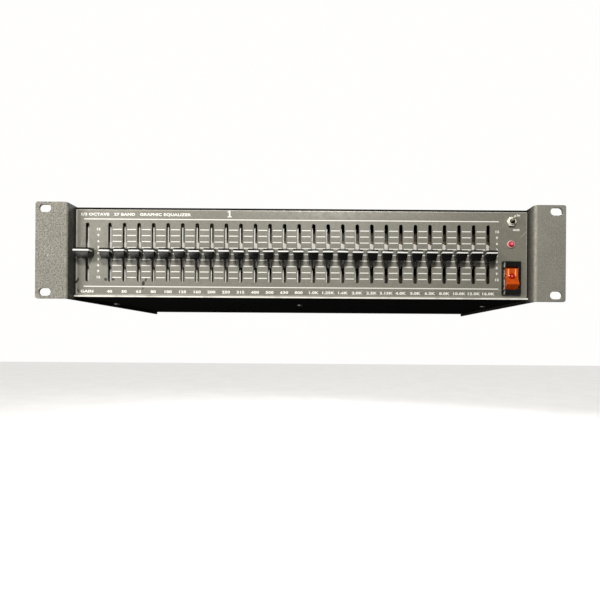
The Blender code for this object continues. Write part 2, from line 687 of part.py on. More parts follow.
def lamp():
    """The red indicator: a domed lens in a thin round bezel."""
    r, top = 2.45 * MM, 3.6 * MM
    dome = arc((0, top - r), r, 90, 0, 4)
    profile = dome + [(r, -5 * MM), (0.0, -5 * MM)]
    turned("led_lamp", profile, RED_LENS, (CONTROL_X, PANEL_Y, LED_Z), OUT_OF_FRONT)
    inner, sleeve, rim = r + 0.15 * MM, 3.0 * MM, 3.7 * MM
    ring = [
        (inner, 1.1 * MM), (rim - 0.5 * MM, 1.1 * MM), (rim, GAP), (sleeve, GAP),
        (sleeve, -3.5 * MM), (inner, -3.5 * MM),
    ]
    turned("led_bezel", ring, BLACK_PLASTIC, (CONTROL_X, PANEL_Y, LED_Z), OUT_OF_FRONT)


def power_switch():
    """Snap-in housing with its bezel, and the rocker on two stub pins inside it."""
    bezel = box(
        (-BEZEL_WIDTH / 2, PANEL_Y - BEZEL_THICK - GAP, -BEZEL_HEIGHT / 2),
        (BEZEL_WIDTH / 2, PANEL_Y - GAP, BEZEL_HEIGHT / 2),
    )
    body = box(
        (-SWITCH_BODY_WIDTH / 2, PANEL_Y - 1 * MM, -SWITCH_BODY_HEIGHT / 2),
        (SWITCH_BODY_WIDTH / 2, PANEL_Y + SWITCH_BODY_DEPTH, SWITCH_BODY_HEIGHT / 2),
    )
    wide, tall = ROCKER_WIDTH / 2 + GAP, ROCKER_RADIUS + GAP
    well = box((-wide, PANEL_Y - 10 * MM, -tall), (wide, PANEL_Y + 8.2 * MM, tall))
    pivot_y = PANEL_Y + 1.5 * MM
    holes = rod((-wide - 0.9 * MM, pivot_y, 0), (wide + 0.9 * MM, pivot_y, 0), 1.5 * MM, 12)
    housing = cut(union(bezel, body), well, holes)
    housing.transform(Matrix.Translation((CONTROL_X, 0, SWITCH_Z)))
    solid("power_switch_housing", housing, BLACK_PLASTIC)

    # Drawn in Y and Z about the pivot: ends on a circle round it, and a shallow valley in front.
    forward, up = ROCKER_EDGE
    outline = arc((0, 0), ROCKER_RADIUS, 70, 92, 3)
    outline += [(-forward, up), (-ROCKER_VALLEY, 0.0), (-forward, -up)]
    outline += arc((0, 0), ROCKER_RADIUS, 268, 290, 3)
    rocker = prism([outline], ROCKER_WIDTH, facing_side(0.0))
    pins = rod((-wide - 0.5 * MM, 0, 0), (wide + 0.5 * MM, 0, 0), 1.15 * MM, 12)
    rocker = union(rocker, pins)
    rocker.transform(Matrix.Rotation(math.radians(-ROCKER_ANGLE), 4, "X"))
    solid("power_rocker", rocker, ORANGE_LENS, (CONTROL_X, pivot_y, SWITCH_Z))


# ---------------------------------------------------------------- rear connectors

def jack(name, x):
    """A quarter-inch socket: body inside, threaded bushing through the rear panel, and its nut."""
    inner = REAR_Y - PANEL_SHEET
    body = box((-9 * MM, inner - 26 * MM, -9 * MM), (9 * MM, inner - GAP, 9 * MM))
    bushing = rod((0, inner - 2 * MM, 0), (0, REAR_Y + 4.5 * MM, 0), 4.75 * MM, ROUND)
    bore = rod((0, inner - 22 * MM, 0), (0, REAR_Y + 6 * MM, 0), 3.25 * MM, ROUND)
    made = cut(union(body, bushing), bore)
    made.transform(Matrix.Translation((x, 0, JACK_Z)))
    solid(name, made, BLACK_PLASTIC)
    nut = rod((0, REAR_Y + GAP, 0), (0, REAR_Y + 2.6 * MM, 0), 7.3 * MM, 6)
    nut = cut(nut, rod((0, REAR_Y - 1 * MM, 0), (0, REAR_Y + 4 * MM, 0), 4.75 * MM + GAP, ROUND))
    nut.transform(Matrix.Translation((x, 0, JACK_Z)))
    solid(f"{name}_nut", nut, NICKEL)


def fuse():
    """Panel fuse holder and its bayonet cap with a coin slot."""
    hollow, wall = 3.4 * MM, 6.0 * MM
    holder = rod((0, REAR_Y - 34 * MM, 0), (0, REAR_Y + 3.0 * MM, 0), wall, ROUND)
    rim = rod((0, REAR_Y + GAP, 0), (0, REAR_Y + 3.0 * MM, 0), 8.0 * MM, ROUND)
    bore = rod((0, REAR_Y - 30 * MM, 0), (0, REAR_Y + 5 * MM, 0), hollow + GAP, ROUND)
    holder = cut(union(holder, rim), bore)
    holder.transform(Matrix.Translation((FUSE_X, 0, FUSE_Z)))
    solid("fuse_holder", holder, BLACK_PLASTIC)
    head = rod((0, REAR_Y + 3.3 * MM, 0), (0, REAR_Y + REAR_REACH, 0), 6.6 * MM, end_radius=6.0 * MM)
    stem = rod((0, REAR_Y - 26 * MM, 0), (0, REAR_Y + 4 * MM, 0), hollow, ROUND)
    face = REAR_Y + REAR_REACH
    slot = box((-5 * MM, face - 1.6 * MM, -0.8 * MM), (5 * MM, face + 1 * MM, 0.8 * MM))
    cap = cut(union(head, stem), slot)
    solid("fuse_cap", cap, BLACK_PLASTIC, (FUSE_X, 0, FUSE_Z))


def mains_inlet():
    """A three-pin appliance inlet with a screw flange."""
    inner = REAR_Y + GAP
    flange = box((-25 * MM, inner, -11.2 * MM), (25 * MM, inner + 3 * MM, 11.2 * MM))
    upright = [e for e in flange.edges if abs(e.verts[0].co.y - e.verts[1].co.y) > 1e-4]
    bmesh.ops.bevel(flange, geom=upright, offset=4 * MM, segments=3, profile=0.5, affect="EDGES")
    body = box(
        (-INLET_WIDTH / 2, REAR_Y - INLET_DEPTH, -INLET_HEIGHT / 2),
        (INLET_WIDTH / 2, inner + 1 * MM, INLET_HEIGHT / 2),
    )
    made = union(flange, body)
    w, h, chamfer = 12.2 * MM, 8.3 * MM, 4 * MM
    mouth = [(-w, -h), (w, -h), (w, h - chamfer), (w - chamfer, h), (-w + chamfer, h), (-w, h - chamfer)]
    well = prism([mouth], 17.5 * MM, facing_front(inner + 5 * MM - 17.5 * MM / 2))
    holes = bmesh.new()
    for side in (-1, 1):
        x = side * INLET_SCREW_SPAN / 2
        rod((x, inner - 1 * MM, 0), (x, inner + 5 * MM, 0), 1.8 * MM, 12, holes)
    made = cut(made, well, holes)
    pins = bmesh.new()
    for x, z in ((-7 * MM, -2 * MM), (7 * MM, -2 * MM), (0.0, 2 * MM)):
        box((x - 1 * MM, inner - 14 * MM, z - 2 * MM), (x + 1 * MM, inner - 3 * MM, z + 2 * MM), pins)
    made = union(made, pins)
    made.transform(Matrix.Translation((INLET_X, 0, INLET_Z)))
    solid("mains_inlet", made, BLACK_PLASTIC)
    for label, side in (("left", -1), ("right", 1)):
        x = INLET_X + side * INLET_SCREW_SPAN / 2
        top = inner + 3 * MM + GAP
        head = rod((x, top, INLET_Z), (x, top + 1.6 * MM, INLET_Z), 2.9 * MM, ROUND, end_radius=2.5 * MM)
        shank = rod((x, REAR_Y - 6 * MM, INLET_Z), (x, top + 0.5 * MM, INLET_Z), 1.5 * MM, 12)
        solid(f"inlet_screw_{label}", union(head, shank), STEEL)


# ---------------------------------------------------------------- assembly

def main():
    side_plate("side_plate_left", -1)
    side_plate("side_plate_right", 1)
    front_panel()
    rear_panel()
    top_cover()
    bottom_cover()
    cross_brace()
    for label, x in BOTTOM_SCREWS.items():
        bottom_screw(f"bottom_screw_{label}", x)
    sliders()
    slide_pot_board()
    filter_board()
    power_supply_board()
    power_transformer()
    ribbon_cable()
    mains_harness()
    toggle_switch()
    lamp()
    power_switch()
    jack("input_jack", INPUT_X)
    jack("output_jack", OUTPUT_X)
    fuse()
    mains_inlet()


main()
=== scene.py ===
"""The looks of a rack graphic equalizer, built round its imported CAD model.

Metres, in the CAD's frame: the panel faces -Y, +X is to the right and +Z is up.
"""

import math
import random

import bmesh
import bpy
from mathutils import Matrix, Vector


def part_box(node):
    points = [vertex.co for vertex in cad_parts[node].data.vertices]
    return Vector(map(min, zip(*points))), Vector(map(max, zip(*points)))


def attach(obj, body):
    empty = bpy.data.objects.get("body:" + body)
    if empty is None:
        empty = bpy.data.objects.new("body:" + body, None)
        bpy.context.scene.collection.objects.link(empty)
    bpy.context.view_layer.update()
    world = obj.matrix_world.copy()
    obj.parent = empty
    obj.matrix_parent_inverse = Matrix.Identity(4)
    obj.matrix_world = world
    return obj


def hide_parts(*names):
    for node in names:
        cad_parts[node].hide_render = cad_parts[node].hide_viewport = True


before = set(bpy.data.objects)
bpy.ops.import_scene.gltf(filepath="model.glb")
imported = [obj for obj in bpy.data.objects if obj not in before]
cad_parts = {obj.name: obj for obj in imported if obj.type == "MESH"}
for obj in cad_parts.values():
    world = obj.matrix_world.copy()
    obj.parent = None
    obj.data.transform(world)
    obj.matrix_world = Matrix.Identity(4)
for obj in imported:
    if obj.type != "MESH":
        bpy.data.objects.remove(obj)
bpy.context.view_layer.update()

MM = 0.001
BAND_LABELS = (
    "40", "50", "63", "80", "100", "125", "160", "200", "250", "315", "400", "500", "630",
    "800", "1.0K", "1.25K", "1.6K", "2.0K", "2.5K", "3.15K", "4.0K", "5.0K", "6.3K",
    "8.0K", "10.0K", "12.5K", "16.0K",
)

# Places read from the frame.
PANEL_LOW, PANEL_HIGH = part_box("front_panel")
EAR_LOW, EAR_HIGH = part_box("side_plate_right")
PANEL_Y = PANEL_LOW.y
PANEL_BACK = PANEL_Y + 1.6 * MM
FRONT_Y = EAR_LOW.y
REAR_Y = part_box("rear_panel")[1].y
EAR_MID = (EAR_LOW.z + EAR_HIGH.z) / 2
MID_Z = (PANEL_LOW.z + PANEL_HIGH.z) / 2
CASE_HALF = EAR_LOW.x


def node_of(label):
    """The slider's node: slider_40hz for 40 and slider_1k25 for 1.25K."""
    whole, _, part = label.rstrip("K").partition(".")
    return f"slider_{whole}k{part.strip('0')}" if label.endswith("K") else f"slider_{whole}hz"


def centre_of(node):
    low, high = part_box(node)
    return (low + high) / 2


SLIDERS = ["slider_gain"] + [node_of(label) for label in BAND_LABELS]
SLOT_X = {name: centre_of(name).x for name in SLIDERS}
BAND_PITCH = SLOT_X["slider_50hz"] - SLOT_X["slider_40hz"]
TOGGLE = centre_of("toggle_nut")
LED = centre_of("led_bezel")
SWITCH = centre_of("power_switch_housing")

# Sizes of the finer shapes.
SLOT_WIDTH = 3.5 * MM
SLOT_LENGTH = 55.5 * MM
POT_LOW, POT_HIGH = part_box("slide_pot_board")
POT_FRONT = POT_LOW.y
KNOB_LOW = 1.8 * MM
KNOB_SHOULDER = 8.0 * MM
KNOB_TOP = 11.5 * MM
KNOB_RISE = 3.2 * MM
KNOB_DROP = 7.0 * MM
KNOB_RIDGE = 2.2 * MM
RIDGE_SHIFT = -0.3 * MM
GRID_STEP = 5.63 * MM
GRID_MIDDLE = MID_Z - 1.1 * MM
INK = 0.06 * MM
GAIN_CAP = 14.6 * MM
BAND_CAP = 9.7 * MM
SHARP = math.radians(35)


# ---------------------------------------------------------------- meshes

def mm(*points):
    """Points written in millimetres, as a list in metres."""
    return [tuple(value * MM for value in point) for point in points]


def box(low, high, bm=None):
    """Adds a box between two corners to bm."""
    bm = bm or bmesh.new()
    low, high = Vector(low), Vector(high)
    scale = Matrix.Diagonal((*(high - low), 1.0))
    bmesh.ops.create_cube(bm, size=1.0, matrix=Matrix.Translation((low + high) / 2) @ scale)
    return bm


def bar(x, z, half_x, half_z, front, back, bm=None):
    """Adds a box from front to back about an axis along Y; its half sizes are in millimetres."""
    w, h = half_x * MM, half_z * MM
    return box((x - w, front, z - h), (x + w, back, z + h), bm)


def bevel(bm, edges, radius, segments):
    bmesh.ops.bevel(bm, geom=edges, offset=radius, segments=segments, profile=0.5, affect="EDGES")


def round_corners(plate, radius, segments):
    """Rounds the four edges of a flat box that run along Y."""
    edges = [e for e in plate.edges if abs(e.verts[0].co.y - e.verts[1].co.y) > 1e-4]
    bevel(plate, edges, radius, segments)


def rod(start, end, radius, sides=32, bm=None):
    """Adds a cylinder between two points to bm."""
    bm = bm or bmesh.new()
    start, end = Vector(start), Vector(end)
    turn = (end - start).to_track_quat("Z", "Y").to_matrix().to_4x4()
    bmesh.ops.create_cone(
        bm, cap_ends=True, segments=sides, radius1=radius, radius2=radius,
        depth=(end - start).length, matrix=Matrix.Translation((start + end) / 2) @ turn,
    )
    return bm


def mesh_of(bm, name):
    mesh = bpy.data.meshes.new(name)
    bm.to_mesh(mesh)
    bm.free()
    return mesh


def linked(name, data, matrix=None):
    """A new object in the scene."""
    obj = bpy.data.objects.new(name, data)
    bpy.context.scene.collection.objects.link(obj)
    obj.matrix_world = matrix or Matrix.Identity(4)
    return obj


def baked(obj):
    """The evaluated mesh of a helper object, as a bmesh in world space; the helper is removed."""
    bpy.context.view_layer.update()
    graph = bpy.context.evaluated_depsgraph_get()
    mesh = bpy.data.meshes.new_from_object(obj.evaluated_get(graph))
    mesh.transform(obj.matrix_world)
    bpy.data.objects.remove(obj)
    bm = bmesh.new()
    bm.from_mesh(mesh)
    bpy.data.meshes.remove(mesh)
    return bm


def prism(outlines, thickness, matrix):
    """Flat outlines filled and thickened as a 2D curve, then turned into one mesh."""
    curve = bpy.data.curves.new("outline", "CURVE")
    curve.dimensions = "2D"
    curve.fill_mode = "BOTH"
    curve.extrude = thickness / 2
    for points in outlines:
        spline = curve.splines.new("POLY")
        spline.points.add(len(points) - 1)
        for point, (x, y) in zip(spline.points, points):
            point.co = (x, y, 0.0, 1.0)
        spline.use_cyclic_u = True
    bm = baked(linked("outline", curve, matrix))
    bmesh.ops.remove_doubles(bm, verts=bm.verts, dist=1e-6)
    bmesh.ops.recalc_face_normals(bm, faces=bm.faces)
    return bm


def lettering(text, size, x, z, widen=1.0, align="CENTER", face=None):
    """Raised lettering on the front panel, or on the face given, as a mesh."""
    curve = bpy.data.curves.new("lettering", "FONT")
    curve.body = text
    curve.size = size
    curve.align_x = align
    curve.align_y = "CENTER"
    curve.extrude = INK / 2
    curve.offset = size * 0.045
    curve.resolution_u = 3
    curve.space_character = 1.06
    place = Matrix.Translation((x, z, 0)) @ Matrix.Diagonal((widen, 1.0, 1.0, 1.0))
    return baked(linked("lettering", curve, (face or facing_front(PANEL_Y - INK / 2)) @ place))


def facing_front(y):
    """Turns a drawing in X and Z to stand at depth y."""
    return Matrix.Translation((0, y, 0)) @ Matrix.Rotation(math.radians(90), 4, "X")


def facing_side(x):
    """Turns a drawing in Y and Z to stand at width x."""
    across = Matrix.Rotation(math.radians(90), 4, "Z") @ Matrix.Rotation(math.radians(90), 4, "X")
    return Matrix.Translation((x, 0, 0)) @ across


def arc(centre, radius, start, end, steps):
    """Points on a circle, by angle in degrees."""
    angles = [math.radians(start + (end - start) * i / steps) for i in range(steps + 1)]
    return [(centre[0] + radius * math.cos(a), centre[1] + radius * math.sin(a)) for a in angles]


def upright_slot(x, z, width, length, steps=10):
    r, half = width / 2, (length - width) / 2
    return arc((x, z + half), r, 0, 180, steps) + arc((x, z - half), r, 180, 360, steps)


def rectangle(x, z, width, height):
    w, h = width / 2, height / 2
    return [(x - w, z - h), (x + w, z - h), (x + w, z + h), (x - w, z + h)]


def circle(x, z, radius, sides=32):
    return arc((x, z), radius, 0, 360 - 360 / sides, sides - 1)


def beside(path, distance):
    """The path moved to its left by distance, with mitred corners."""
    points = [Vector((*p, 0.0)) for p in path]
    ways = [(b - a).normalized() for a, b in zip(points, points[1:])]
    made = []
    for point, before, after in zip(points, ways[:1] + ways, ways + ways[-1:]):
        middle = (before + after).normalized()
        reach = distance / middle.dot(after)
        made.append((point.x - middle.y * reach, point.y + middle.x * reach))
    return made


def folded_sheet(path, thickness, length, matrix):
    """A bent sheet: thickness to the left of the path, and as long as length."""
    return prism([path + beside(path, thickness)[::-1]], length, matrix)


def combine(operation, base, *others):
    """base with each of the other solids joined to it, cut from it or crossed with it."""
    obj = linked("base", mesh_of(base, "base"))
    tools = [linked("tool", mesh_of(other, "tool")) for other in others]
    for tool in tools:
        modifier = obj.modifiers.new("step", "BOOLEAN")
        modifier.operation = operation
        modifier.solver = "EXACT"
        modifier.object = tool
    made = baked(obj)
    for tool in tools:
        bpy.data.objects.remove(tool)
    return made


def union(base, *others):
    return combine("UNION", base, *others)


def cut(base, *others):
    return combine("DIFFERENCE", base, *others)


def joined(*parts):
    """Several loose shapes in one bmesh."""
    whole = bmesh.new()
    for part in parts:
        mesh = mesh_of(part, "part")
        whole.from_mesh(mesh)
        bpy.data.meshes.remove(mesh)
    return whole


def spun(profile, matrix, steps=40):
    """A profile of (radius, height) pairs turned about local Z, then placed by matrix."""
    bm = bmesh.new()
    points = [bm.verts.new((abs(r), 0.0, h)) for r, h in profile]
    edges = [bm.edges.new(pair) for pair in zip(points, points[1:])]
    if profile[0][0] > 1e-6:
        edges.append(bm.edges.new((points[-1], points[0])))
    turn = {"cent": (0, 0, 0), "axis": (0, 0, 1), "angle": math.tau, "steps": steps}
    bmesh.ops.spin(bm, geom=points + edges, use_merge=True, **turn)
    bmesh.ops.remove_doubles(bm, verts=bm.verts, dist=1e-7)
    bmesh.ops.recalc_face_normals(bm, faces=bm.faces)
    bm.transform(matrix)
    return bm


def outwards(x, y, z):
    """A frame whose local Z points out of the front panel."""
    return Matrix.Translation((x, y, z)) @ Matrix.Rotation(math.radians(90), 4, "X")


def backwards(x, y, z):
    """A frame whose local Z points out of the rear panel."""
    return Matrix.Translation((x, y, z)) @ Matrix.Rotation(math.radians(-90), 4, "X")


# ---------------------------------------------------------------- pieces

def soften(obj, width, segments=2):
    """Rounds the sharp edges by width, in millimetres."""
    rounding = obj.modifiers.new("rounded_edges", "BEVEL")
    rounding.width = width * MM
    rounding.segments = segments
    rounding.limit_method = "ANGLE"
    rounding.angle_limit = SHARP
    rounding.use_clamp_overlap = True
    rounding.harden_normals = True


def piece(name, shape, material, body="chassis", edge=0.0, segments=2, stands_for=(), at=None):
    """One visible piece: shape is a bmesh or a shared mesh, and edge its rounding in millimetres."""
    mesh = shape if isinstance(shape, bpy.types.Mesh) else mesh_of(shape, name)
    if not mesh.materials:
        mesh.materials.append(material)
    mesh.shade_smooth()
    mesh.set_sharp_from_angle(angle=SHARP)
    obj = linked(name, mesh, at)
    if edge:
        soften(obj, edge, segments)
    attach(obj, body)
    if stands_for:
        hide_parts(*stands_for)
    return obj


def repaint(node, material, edge=0.0):
    """A CAD node that keeps its own shape."""
    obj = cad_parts[node]
    obj.data.materials.clear()
    obj.data.materials.append(material)
    if edge:
        weld = obj.modifiers.new("weld", "WELD")
        weld.merge_threshold = 1e-6
        soften(obj, edge)


# ---------------------------------------------------------------- materials

class Finish:
    """A Principled material and short calls that build its node tree."""

    def __init__(self, name, **inputs):
        self.material = bpy.data.materials.new(name)
        self.material.use_nodes = True
        self.tree = self.material.node_tree
        self.shader = self.tree.nodes["Principled BSDF"]
        for key, value in inputs.items():
            self.shader.inputs[key.replace("_", " ").title().replace("Ior", "IOR")].default_value = value
        self.place = self.node("ShaderNodeTexCoord", "Object")
        self.height = None

    def join(self, value, socket):
        if isinstance(value, bpy.types.NodeSocket):
            self.tree.links.new(value, socket)
        elif isinstance(value, tuple) and len(value) == 3 and socket.type == "RGBA":
            socket.default_value = (*value, 1.0)
        else:
            socket.default_value = value

    def node(self, kind, output=0, inputs=None, **settings):
        """One output of a new node, whose inputs are given by name or by place."""
        made = self.tree.nodes.new(kind)
        for key, value in settings.items():
            setattr(made, key, value)
        for key, value in (inputs or {}).items():
            self.join(value, made.inputs[key])
        return made.outputs[output]

    def maths(self, operation, a, b=0.0):
        return self.node("ShaderNodeMath", 0, {0: a, 1: b}, operation=operation)

    def times(self, a, b):
        return self.maths("MULTIPLY", a, b)

    def apart(self, value, place):
        """How far value is from place, on either side."""
        return self.maths("ABSOLUTE", self.maths("SUBTRACT", value, place))

    def noise(self, scale, detail=3.0, stretch=(1.0, 1.0, 1.0), rough=0.5, shift=0.0):
        moved = {"Vector": self.place, "Scale": stretch, "Location": (shift, shift, shift)}
        place = self.node("ShaderNodeMapping", 0, moved)
        inputs = {"Vector": place, "Scale": scale, "Detail": detail, "Roughness": rough}
        return self.node("ShaderNodeTexNoise", 0, inputs)

    def cells(self, scale):
        return self.node("ShaderNodeTexVoronoi", "Distance", {"Vector": self.place, "Scale": scale})

    def step(self, value, low, high, out_low=0.0, out_high=1.0):
        """Value between low and high, eased to out_low and out_high."""
        inputs = dict(enumerate((value, low, high, out_low, out_high)))
        return self.node("ShaderNodeMapRange", 0, inputs, interpolation_type="SMOOTHSTEP")

    def axis(self, name):
        return self.node("ShaderNodeSeparateXYZ", name, {0: self.place})

    def blend(self, share, a, b):
        """From colour a at a share of 0 to colour b at 1."""
        return self.node("ShaderNodeMix", 2, {0: share, 6: a, 7: b}, data_type="RGBA")

    def colour(self, value):
        """The colour that the layers after it go over."""
        self.tint = value
        self.join(value, self.shader.inputs["Base Color"])

    def over(self, share, tint, strength=1.0):
        """Lays a tint over the colour so far, by share times strength."""
        share = self.times(share, strength) if strength < 1.0 else share
        self.colour(self.blend(share, self.tint, tint))

    def gloss(self, scale, low, high, detail=3.0, stretch=(1.0, 1.0, 1.0)):
        """Roughness that wanders between low and high."""
        rough = self.step(self.noise(scale, detail, stretch), 0.3, 0.7, low, high)
        self.join(rough, self.shader.inputs["Roughness"])

    def metallic(self, value):
        self.join(value, self.shader.inputs["Metallic"])

    def bump(self, height, depth, strength=1.0):
        inputs = {"Strength": strength, "Distance": depth, "Height": height}
        if self.height is not None:
            inputs["Normal"] = self.height
        self.height = self.node("ShaderNodeBump", 0, inputs)
        self.join(self.height, self.shader.inputs["Normal"])


def shade(colour, factor):
    return tuple(min(1.0, c * factor) for c in colour)


def mottled(finish, base, amount, scale, detail=4.0, stretch=(1.0, 1.0, 1.0)):
    """The base colour, drifting by amount either way."""
    drift = finish.step(finish.noise(scale, detail, stretch), 0.3, 0.7)
    return finish.blend(drift, shade(base, 1 - amount), shade(base, 1 + amount))


def ear_finish():
    """Fine textured grey paint, with a lighter band along the bend that is painted highlight as well as
    rubbed paint, and painted shade inside the recess, dark all over on the left side.
    """
    base = (0.285, 0.274, 0.233)
    f = Finish("ear_paint", specular_ior_level=0.3)
    grain = f.noise(1500.0, 3.0, rough=0.6)
    speckle = f.step(f.cells(1300.0), 0.1, 0.55)
    f.colour(mottled(f, base, 0.07, 60.0))
    f.over(speckle, shade(base, 1.45), 0.3)
    coarse = f.step(f.noise(900.0, 2.5, rough=0.65), 0.36, 0.58)
    # Painted shade with rougher paint: the dark pits are stronger on the left ear, where the grain shows
    # more shade under the light from the left.
    rough_and_shaded_side = f.step(f.axis("X"), -0.1, 0.1, 1.0, 0.45)
    pits = f.times(f.maths("SUBTRACT", 1.0, coarse), rough_and_shaded_side)
    f.over(pits, shade(base, 0.45))
    chips = f.maths("GREATER_THAN", f.noise(420.0, 2.0), 0.735)
    f.over(chips, (0.55, 0.53, 0.47), 0.7)
    out_x = f.maths("ABSOLUTE", f.axis("X"))
    bend = f.step(f.apart(out_x, CASE_HALF + 1.2 * MM), 0.0, 1.6 * MM, 1.0, 0.0)
    front = f.step(f.axis("Y"), FRONT_Y + 1.5 * MM, FRONT_Y + 2.6 * MM, 1.0, 0.0)
    wear = f.step(f.noise(160.0, 3.0), 0.3, 0.7, 0.2, 0.75)
    # Painted highlight with rubbed paint: the front of the bend is painted lighter where it catches the
    # light.
    bend_wear_and_highlight = f.times(f.times(bend, front), wear)
    f.over(bend_wear_and_highlight, shade(base, 1.8))
    # Painted shade on the side plate's inner face in the recess: darker towards the panel, and dark all
    # over on the left side, which faces away from the light.
    behind = f.step(f.axis("Y"), FRONT_Y + 2.0 * MM, FRONT_Y + 11.5 * MM, 0.2, 1.0)
    behind = f.maths("MAXIMUM", behind, f.step(f.axis("X"), -0.1, 0.1, 0.95, 0.0))
    inner_face = f.step(out_x, CASE_HALF - 0.1 * MM, CASE_HALF + 0.3 * MM, 1.0, 0.0)
    inside = f.times(behind, inner_face)
    inside = f.times(inside, f.maths("GREATER_THAN", f.axis("Y"), FRONT_Y + 2.0 * MM))
    f.over(inside, shade(base, 0.07))
    f.gloss(300.0, 0.42, 0.6)
    f.bump(coarse, 0.16 * MM, 0.8)
    f.bump(grain, 0.10 * MM, 0.7)
    f.bump(speckle, 0.05 * MM, 0.6)
    return f.material


# Marks on the panel in mm, from the middle of the panel: x, z, width, height, angle and how dark.
SCUFFS = (
    (-210.2, -27.0, 6.0, 2.0, 63.0, 0.9), (-183.5, -25.6, 3.2, 2.3, -35.0, 1.0),
    (-176.4, -25.5, 3.0, 2.2, 0.0, 1.0), (-161.9, -23.9, 3.8, 1.2, 0.0, 0.95),
    (-145.8, -25.7, 2.1, 3.4, -20.0, 0.85), (-148.1, -29.0, 2.6, 4.2, -12.0, 1.0),
    (-148.5, -33.4, 2.4, 3.6, 0.0, 0.5), (-209.1, -36.4, 4.0, 2.0, 115.0, 0.6),
)
# Scratches in mm: x, z, length and angle.
SCRATCHES = ((208.4, 19.2, 10.0, 45.0), (189.0, -33.0, 6.0, 10.0), (-206.5, 8.0, 14.0, 84.0))
SCRATCH_WIDTH = 0.45 * MM


def scuff(f, x, z, width, height, angle=0.0):
    """A soft spot on the panel: 1 in its middle, ragged at its edge."""
    across = f.maths("SUBTRACT", f.axis("X"), x)
    along = f.maths("SUBTRACT", f.axis("Z"), z)
    c, s = math.cos(math.radians(angle)), math.sin(math.radians(angle))
    u = f.maths("ADD", f.times(across, c), f.times(along, s))
    v = f.maths("SUBTRACT", f.times(along, c), f.times(across, s))
    u = f.maths("POWER", f.maths("ABSOLUTE", f.maths("DIVIDE", u, width / 2)), 2.0)
    v = f.maths("POWER", f.maths("ABSOLUTE", f.maths("DIVIDE", v, height / 2)), 2.0)
    ragged = f.maths("ADD", f.maths("ADD", u, v), f.step(f.noise(900.0, 3.0), 0.2, 0.8, -0.35, 0.35))
    return f.step(ragged, 0.85, 1.3, 1.0, 0.0)


def panel_finish():
    """Satin grey paint, lighter along its edges with bare wear and a painted highlight, widest on the
    left, with a few black scuffs and pale scratches.
    """
    base = (0.238, 0.227, 0.186)
    f = Finish("panel_paint")
    f.colour(mottled(f, base, 0.07, 26.0))
    cast = f.step(f.noise(9.0, 2.0, shift=3.0), 0.35, 0.65)
    f.over(cast, (0.215, 0.21, 0.174), 0.5)
    grain = f.step(f.noise(520.0, 3.0, rough=0.6, shift=1.0), 0.34, 0.66)
    f.over(f.maths("SUBTRACT", 1.0, grain), shade(base, 0.62), 0.42)
    speck = f.maths("GREATER_THAN", f.noise(1100.0, 2.0), 0.71)
    f.over(speck, shade(base, 1.7), 0.35)
    hairs = f.maths("GREATER_THAN", f.noise(70.0, 2.0, stretch=(1.0, 1.0, 14.0), shift=8.0), 0.76)
    f.over(hairs, shade(base, 1.6), 0.18)
    # Painted highlight with bare wear: the edges are painted light where their bends catch the light,
    # most widely on the left edge, which faces the light.
    edge_wear_and_highlight = f.step(f.axis("X"), -PANEL_HIGH.x, -PANEL_HIGH.x + 2.4 * MM, 1.0, 0.0)
    for band in (
        f.step(f.axis("X"), PANEL_HIGH.x - 0.5 * MM, PANEL_HIGH.x),
        f.step(f.axis("Z"), PANEL_HIGH.z - 1.1 * MM, PANEL_HIGH.z),
        f.step(f.axis("Z"), PANEL_LOW.z, PANEL_LOW.z + 1.2 * MM, 1.0, 0.0),
    ):
        edge_wear_and_highlight = f.maths("MAXIMUM", edge_wear_and_highlight, band)
    edge_wear_and_highlight = f.times(edge_wear_and_highlight, f.step(f.noise(130.0, 4.0, shift=5.0), 0.25, 0.55, 0.55, 1.0))
    f.over(edge_wear_and_highlight, (0.78, 0.76, 0.69))
    for x, z, width, height, angle, share in SCUFFS:
        mark = scuff(f, x * MM, MID_Z + z * MM, width * MM, height * MM, angle)
        f.over(mark, (0.008, 0.008, 0.008), share)
    for x, z, length, angle in SCRATCHES:
        mark = scuff(f, x * MM, MID_Z + z * MM, length * MM, SCRATCH_WIDTH, angle)
        f.over(mark, (0.5, 0.48, 0.43), 0.6)
    f.gloss(200.0, 0.38, 0.52)
    f.metallic(f.times(edge_wear_and_highlight, 0.6))
    f.bump(f.noise(1600.0, 2.0), 0.03 * MM, 0.5)
    return f.material


def cover_finish(name, lip):
    """Black matt paint. With lip, its front edge that shows past the panel is bare and painted near
    white, a painted highlight as well as bare metal.
    """
    base = (0.008, 0.008, 0.007)
    f = Finish(name, specular_ior_level=0.12)
    f.colour(mottled(f, base, 0.25, 40.0))
    dust = f.maths("GREATER_THAN", f.noise(700.0, 3.0), 0.7)
    f.over(dust, (0.05, 0.048, 0.042), 0.25)
    if lip:
        # Painted highlight with bare metal: the lip's front edge is painted near white where it catches
        # the light.
        front = f.step(f.axis("Y"), PANEL_Y - 0.7 * MM, PANEL_Y - 0.1 * MM, 1.0, 0.0)
        bare = f.times(front, f.step(f.noise(90.0, 4.0), 0.2, 0.5, 0.6, 1.0))
        f.over(bare, (0.92, 0.9, 0.83))
    f.gloss(160.0, 0.7, 0.86)
    f.bump(f.noise(1400.0, 3.0), 0.05 * MM, 0.6)
    return f.material


def ink_finish(name, colour, wear):
    """Printed or filled paint with small thin spots."""
    f = Finish(name)
    thin = f.step(f.noise(1200.0, 3.0), 0.35, 0.65)
    f.colour(colour)
    f.over(thin, shade(colour, 0.6), wear)
    f.gloss(800.0, 0.42, 0.6)
    f.bump(f.noise(2500.0, 2.0), 0.01 * MM, 0.4)
    return f.material


